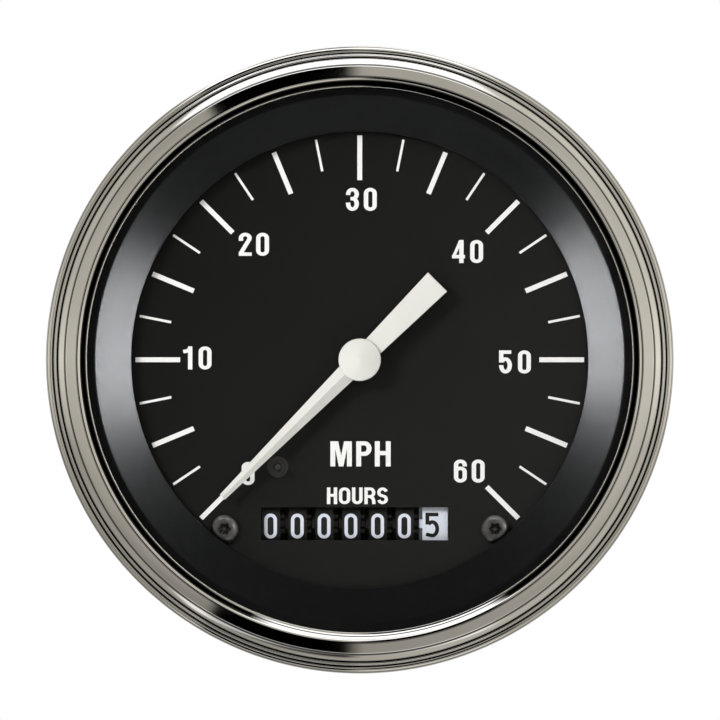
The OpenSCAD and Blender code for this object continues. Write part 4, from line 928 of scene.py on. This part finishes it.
def makeWorld():
    world = bpy.data.worlds.new("studioWorld")
    scene.world = world
    world.use_nodes = True
    wire = Wire(world.node_tree)
    world.node_tree.nodes.clear()
    seen = [wire.add("LightPath", out=k) for k in ("Is Camera Ray", "Is Glossy Ray", "Is Transmission Ray")]
    white = wire.sums("MAXIMUM", wire.sums("MAXIMUM", seen[0], seen[1]), seen[2])
    ambient = wire.add("Background", {}, {"Color": (1, 1, 1, 1), "Strength": studio["ambient"]})
    plain = wire.add("Background", {}, {"Color": (1, 1, 1, 1), "Strength": 1.0})
    both = wire.add("MixShader", {}, {0: white, 1: ambient, 2: plain})
    wire.add("OutputWorld", {}, {"Surface": both})


def makeFloor():
    bm = bmesh.new()
    bmesh.ops.create_circle(bm, cap_ends=True, radius=studio["floorR"], segments=96)
    material, wire, link = newFinish("palePaper", {
        "Base Color": (0.8, 0.8, 0.8, 1), "Roughness": 0.9, "Emission Color": (1, 1, 1, 1),
        "Emission Strength": studio["floorGlow"]})
    link("Alpha", wire.add("TexCoord", out=3).length().ramp(*studio["floorFade"]))  # it fades into the white
    floor = placed(bm, "studioFloor", material)
    floor.location = (0, studio["floorY"], studio["floorZ"])
    floor.visible_glossy = False


roomSet = {"r": 1.7, "beige": (1.0, 0.955, 0.85), "front": 0.61, "toRight": 0.22, "toEnds": 0.98, "toTop": 0.21,
           "reach": 0.25, "flat": 0.03, "gap": ((0.19, 1), (0.215, 0), (0.475, 0), (0.505, 1)),
           "gapNear": ((0.76, 0), (0.82, 1)), "gapUp": ((0.0, 0), (0.04, 1)),
           "halo": ((0.63, 0), (0.67, 1), (0.86, 1), (0.93, 0)), "haloGlow": 0.35,
           "collar": ((0.50, 1), (0.53, 0), (0.61, 0), (0.64, 1)),
           "strip": ((0.60, 0), (0.63, 1), (0.90, 1), (0.93, 0)),
           "overhead": ((0.555, 0), (0.57, 1), (0.61, 1), (0.625, 0)), "overheadUp": ((0.60, 0), (0.63, 1)),
           "stripSide": ((0.24, 0), (0.27, 1), (0.65, 1), (0.69, 0)),
           "lowStrip": ((0.58, 0), (0.61, 1), (0.71, 1), (0.75, 0)),
           "topGlow": 1.5, "lowGlow": 0.62, "behind": ((0.24, 1), (0.27, 0)), "behindGlow": 0.45,
           "rearR": 1.8, "rearGlow": 0.95,
           "rearWalls": ((0.0, 0.16), (0.40, 0.26), (0.52, 0.55), (0.62, 1.0), (1.0, 1.1))}


def roomPaint(name, glow):
    paint, wire, link = newFinish(name, {"Base Color": (0, 0, 0, 1), "Roughness": 1.0,
                                         "Specular IOR Level": 0.0, "Emission Strength": glow})
    way = wire.add("VectorMath", {"operation": "NORMALIZE"}, {0: wire.add("TexCoord", out=3)})
    across, depth, up = way.axes(0, 1, 2)
    return paint, wire, link, across, 0.5 - depth * 0.5, up


def makeRoom(s, receivers):  # what the front mirrors: beige walls, a dark gap, white strips above and below
    bm = bmesh.new()
    bmesh.ops.create_icosphere(bm, subdivisions=4, radius=s["r"])
    paint, wire, link, across, ahead, up = roomPaint("roomPaint", 2.0)
    ends = wire.add("Math", {"operation": "ABSOLUTE"}, {0: up})
    lean = wire.sums("DIVIDE", across, wire.sums("MAXIMUM", ends, s["flat"]))
    near = wire.sums("MAXIMUM", ahead.ramp(*s["gapNear"]), up.ramp(*s["gapUp"]))
    gap = 1 - (1 - (lean * 0.5 + 0.5).ramp(*s["gap"])) * near
    collar = ahead.ramp(*s["collar"])
    aside = (across * 0.5 + 0.5).ramp(*s["stripSide"])
    top, low = up.ramp(*s["strip"]) * aside, (0.0 - up).ramp(*s["lowStrip"]) * aside
    right, rise = [wire.add("Clamp", {}, {0: k, 1: -s["reach"], 2: s["reach"]}) for k in (across, up)]
    walls = s["front"] + s["toRight"] * right + s["toTop"] * rise
    walls = walls - s["toEnds"] * wire.sums("MINIMUM", ends, s["reach"])
    walls = walls * (1 + s["haloGlow"] * ahead.ramp(*s["halo"])) * gap * collar * (1 - top)
    overhead = ahead.ramp(*s["overhead"]) * up.ramp(*s["overheadUp"]) * aside  # for the lip at the bottom
    strips = (top * s["topGlow"] + low * s["lowGlow"]) * collar + overhead * s["topGlow"]
    behind = ahead.ramp(*s["behind"])
    tint = (walls * (1 - behind)).shade(s["beige"])
    plain = wire.sums("MAXIMUM", strips, behind * s["behindGlow"]).shade((1, 1, 1))
    link("Emission Color", wire.add("VectorMath", {"operation": "ADD"}, {0: tint, 1: plain}))
    tree = paint.node_tree  # half see-through and twice as bright, so the wider room shows behind it
    shader = Wire(tree, tree.nodes["Principled BSDF"].outputs[0])
    half = wire.add("MixShader", {}, {0: 0.5, 1: wire.add("BsdfTransparent"), 2: shader})
    tree.links.new(half.socket, tree.nodes["Material Output"].inputs["Surface"])
    mirroredOnly("mirroredRoom", bm, paint, receivers)


def makeRearRoom(s, receivers):  # what the rear mirrors: pale walls, darker below, white behind
    bm = bmesh.new()
    bmesh.ops.create_icosphere(bm, subdivisions=4, radius=s["rearR"])
    paint, wire, link, _, ahead, up = roomPaint("rearRoomPaint", 1.0)
    walls = (up * 0.5 + 0.5).ramp(*s["rearWalls"])
    link("Emission Color", wire.sums("MAXIMUM", walls, ahead.ramp(*s["behind"]) * s["rearGlow"]))
    mirroredOnly("rearRoom", bm, paint, receivers)


def makeLensCard():  # keeps the glass clear from the front
    paint = newFinish("blackCard", {"Base Color": (0.004, 0.004, 0.004, 1), "Roughness": 1.0,
                                    "Specular IOR Level": 0.0})[0]
    bm = bmesh.new()
    bmesh.ops.create_circle(bm, cap_ends=True, radius=studio["cardR"], segments=48)
    faceAim(mirroredOnly("lensCard", bm, paint), 0, 0, studio["cardAway"])


cameraSet = {"distance": 3.0, "frame": 0.1085, "sensor": 36.0, "centre": (0.00004, -0.00004)}


def makeCamera(s):
    data = bpy.data.cameras.new("frontCamera")
    data.sensor_width = s["sensor"]
    data.lens = s["sensor"] * s["distance"] / s["frame"]
    data.clip_start, data.clip_end = 0.05, 50
    camera = bpy.data.objects.new("frontCamera", data)
    camera.location = (s["centre"][0], -s["distance"], s["centre"][1])
    camera.rotation_euler = (radians(90), 0, 0)
    scene.collection.objects.link(camera)
    scene.camera = camera


makeWorld()
makeFloor()
makeRoom(roomSet, [obj for obj in scene.objects if obj.type == "MESH" and obj not in [*rearPieces, trimRing]])
makeRearRoom(roomSet, rearPieces)
makeLensCard()
# Name, degrees off axis, clock, distance, width, height, glow, colour, seen in chrome, what alone it lights
boxSet = (
    ("frontPanel", 20, 120, 0.80, 1.2, 0.9, 0.60, "beige", False, ()),
    ("leftBox", 72, 190, 0.70, 0.20, 0.46, 50.0, "cool", True, (trimRing,)),
    ("rightBox", 72, 355, 0.70, 0.20, 0.46, 48.0, "cool", True, (trimRing,)),
    ("lowBox", 72, 270, 0.70, 0.90, 0.46, 0.4, "cool", True, (trimRing,)),
    ("glintBox", 42, 15, 0.60, 0.09, 0.09, 10.0, "white", True, (dialScrews, stopPin)),
    ("keyBox", 40, 150, 0.55, 0.12, 0.12, 42.0, "white", False, ()),
    ("rearRight", 95, 50, 0.70, 0.5, 0.09, 2.6, "white", True, rearPieces),  # soft streaks along the case
    ("rearLeft", 95, 130, 0.70, 0.5, 0.09, 2.6, "white", True, rearPieces))
for name, *place, colour, inChrome, receivers in boxSet:
    box = softBox(name, *place, studio[colour], inChrome)
    if receivers:
        lightOnly(box, receivers)
makeCamera(cameraSet)
print("studio made")
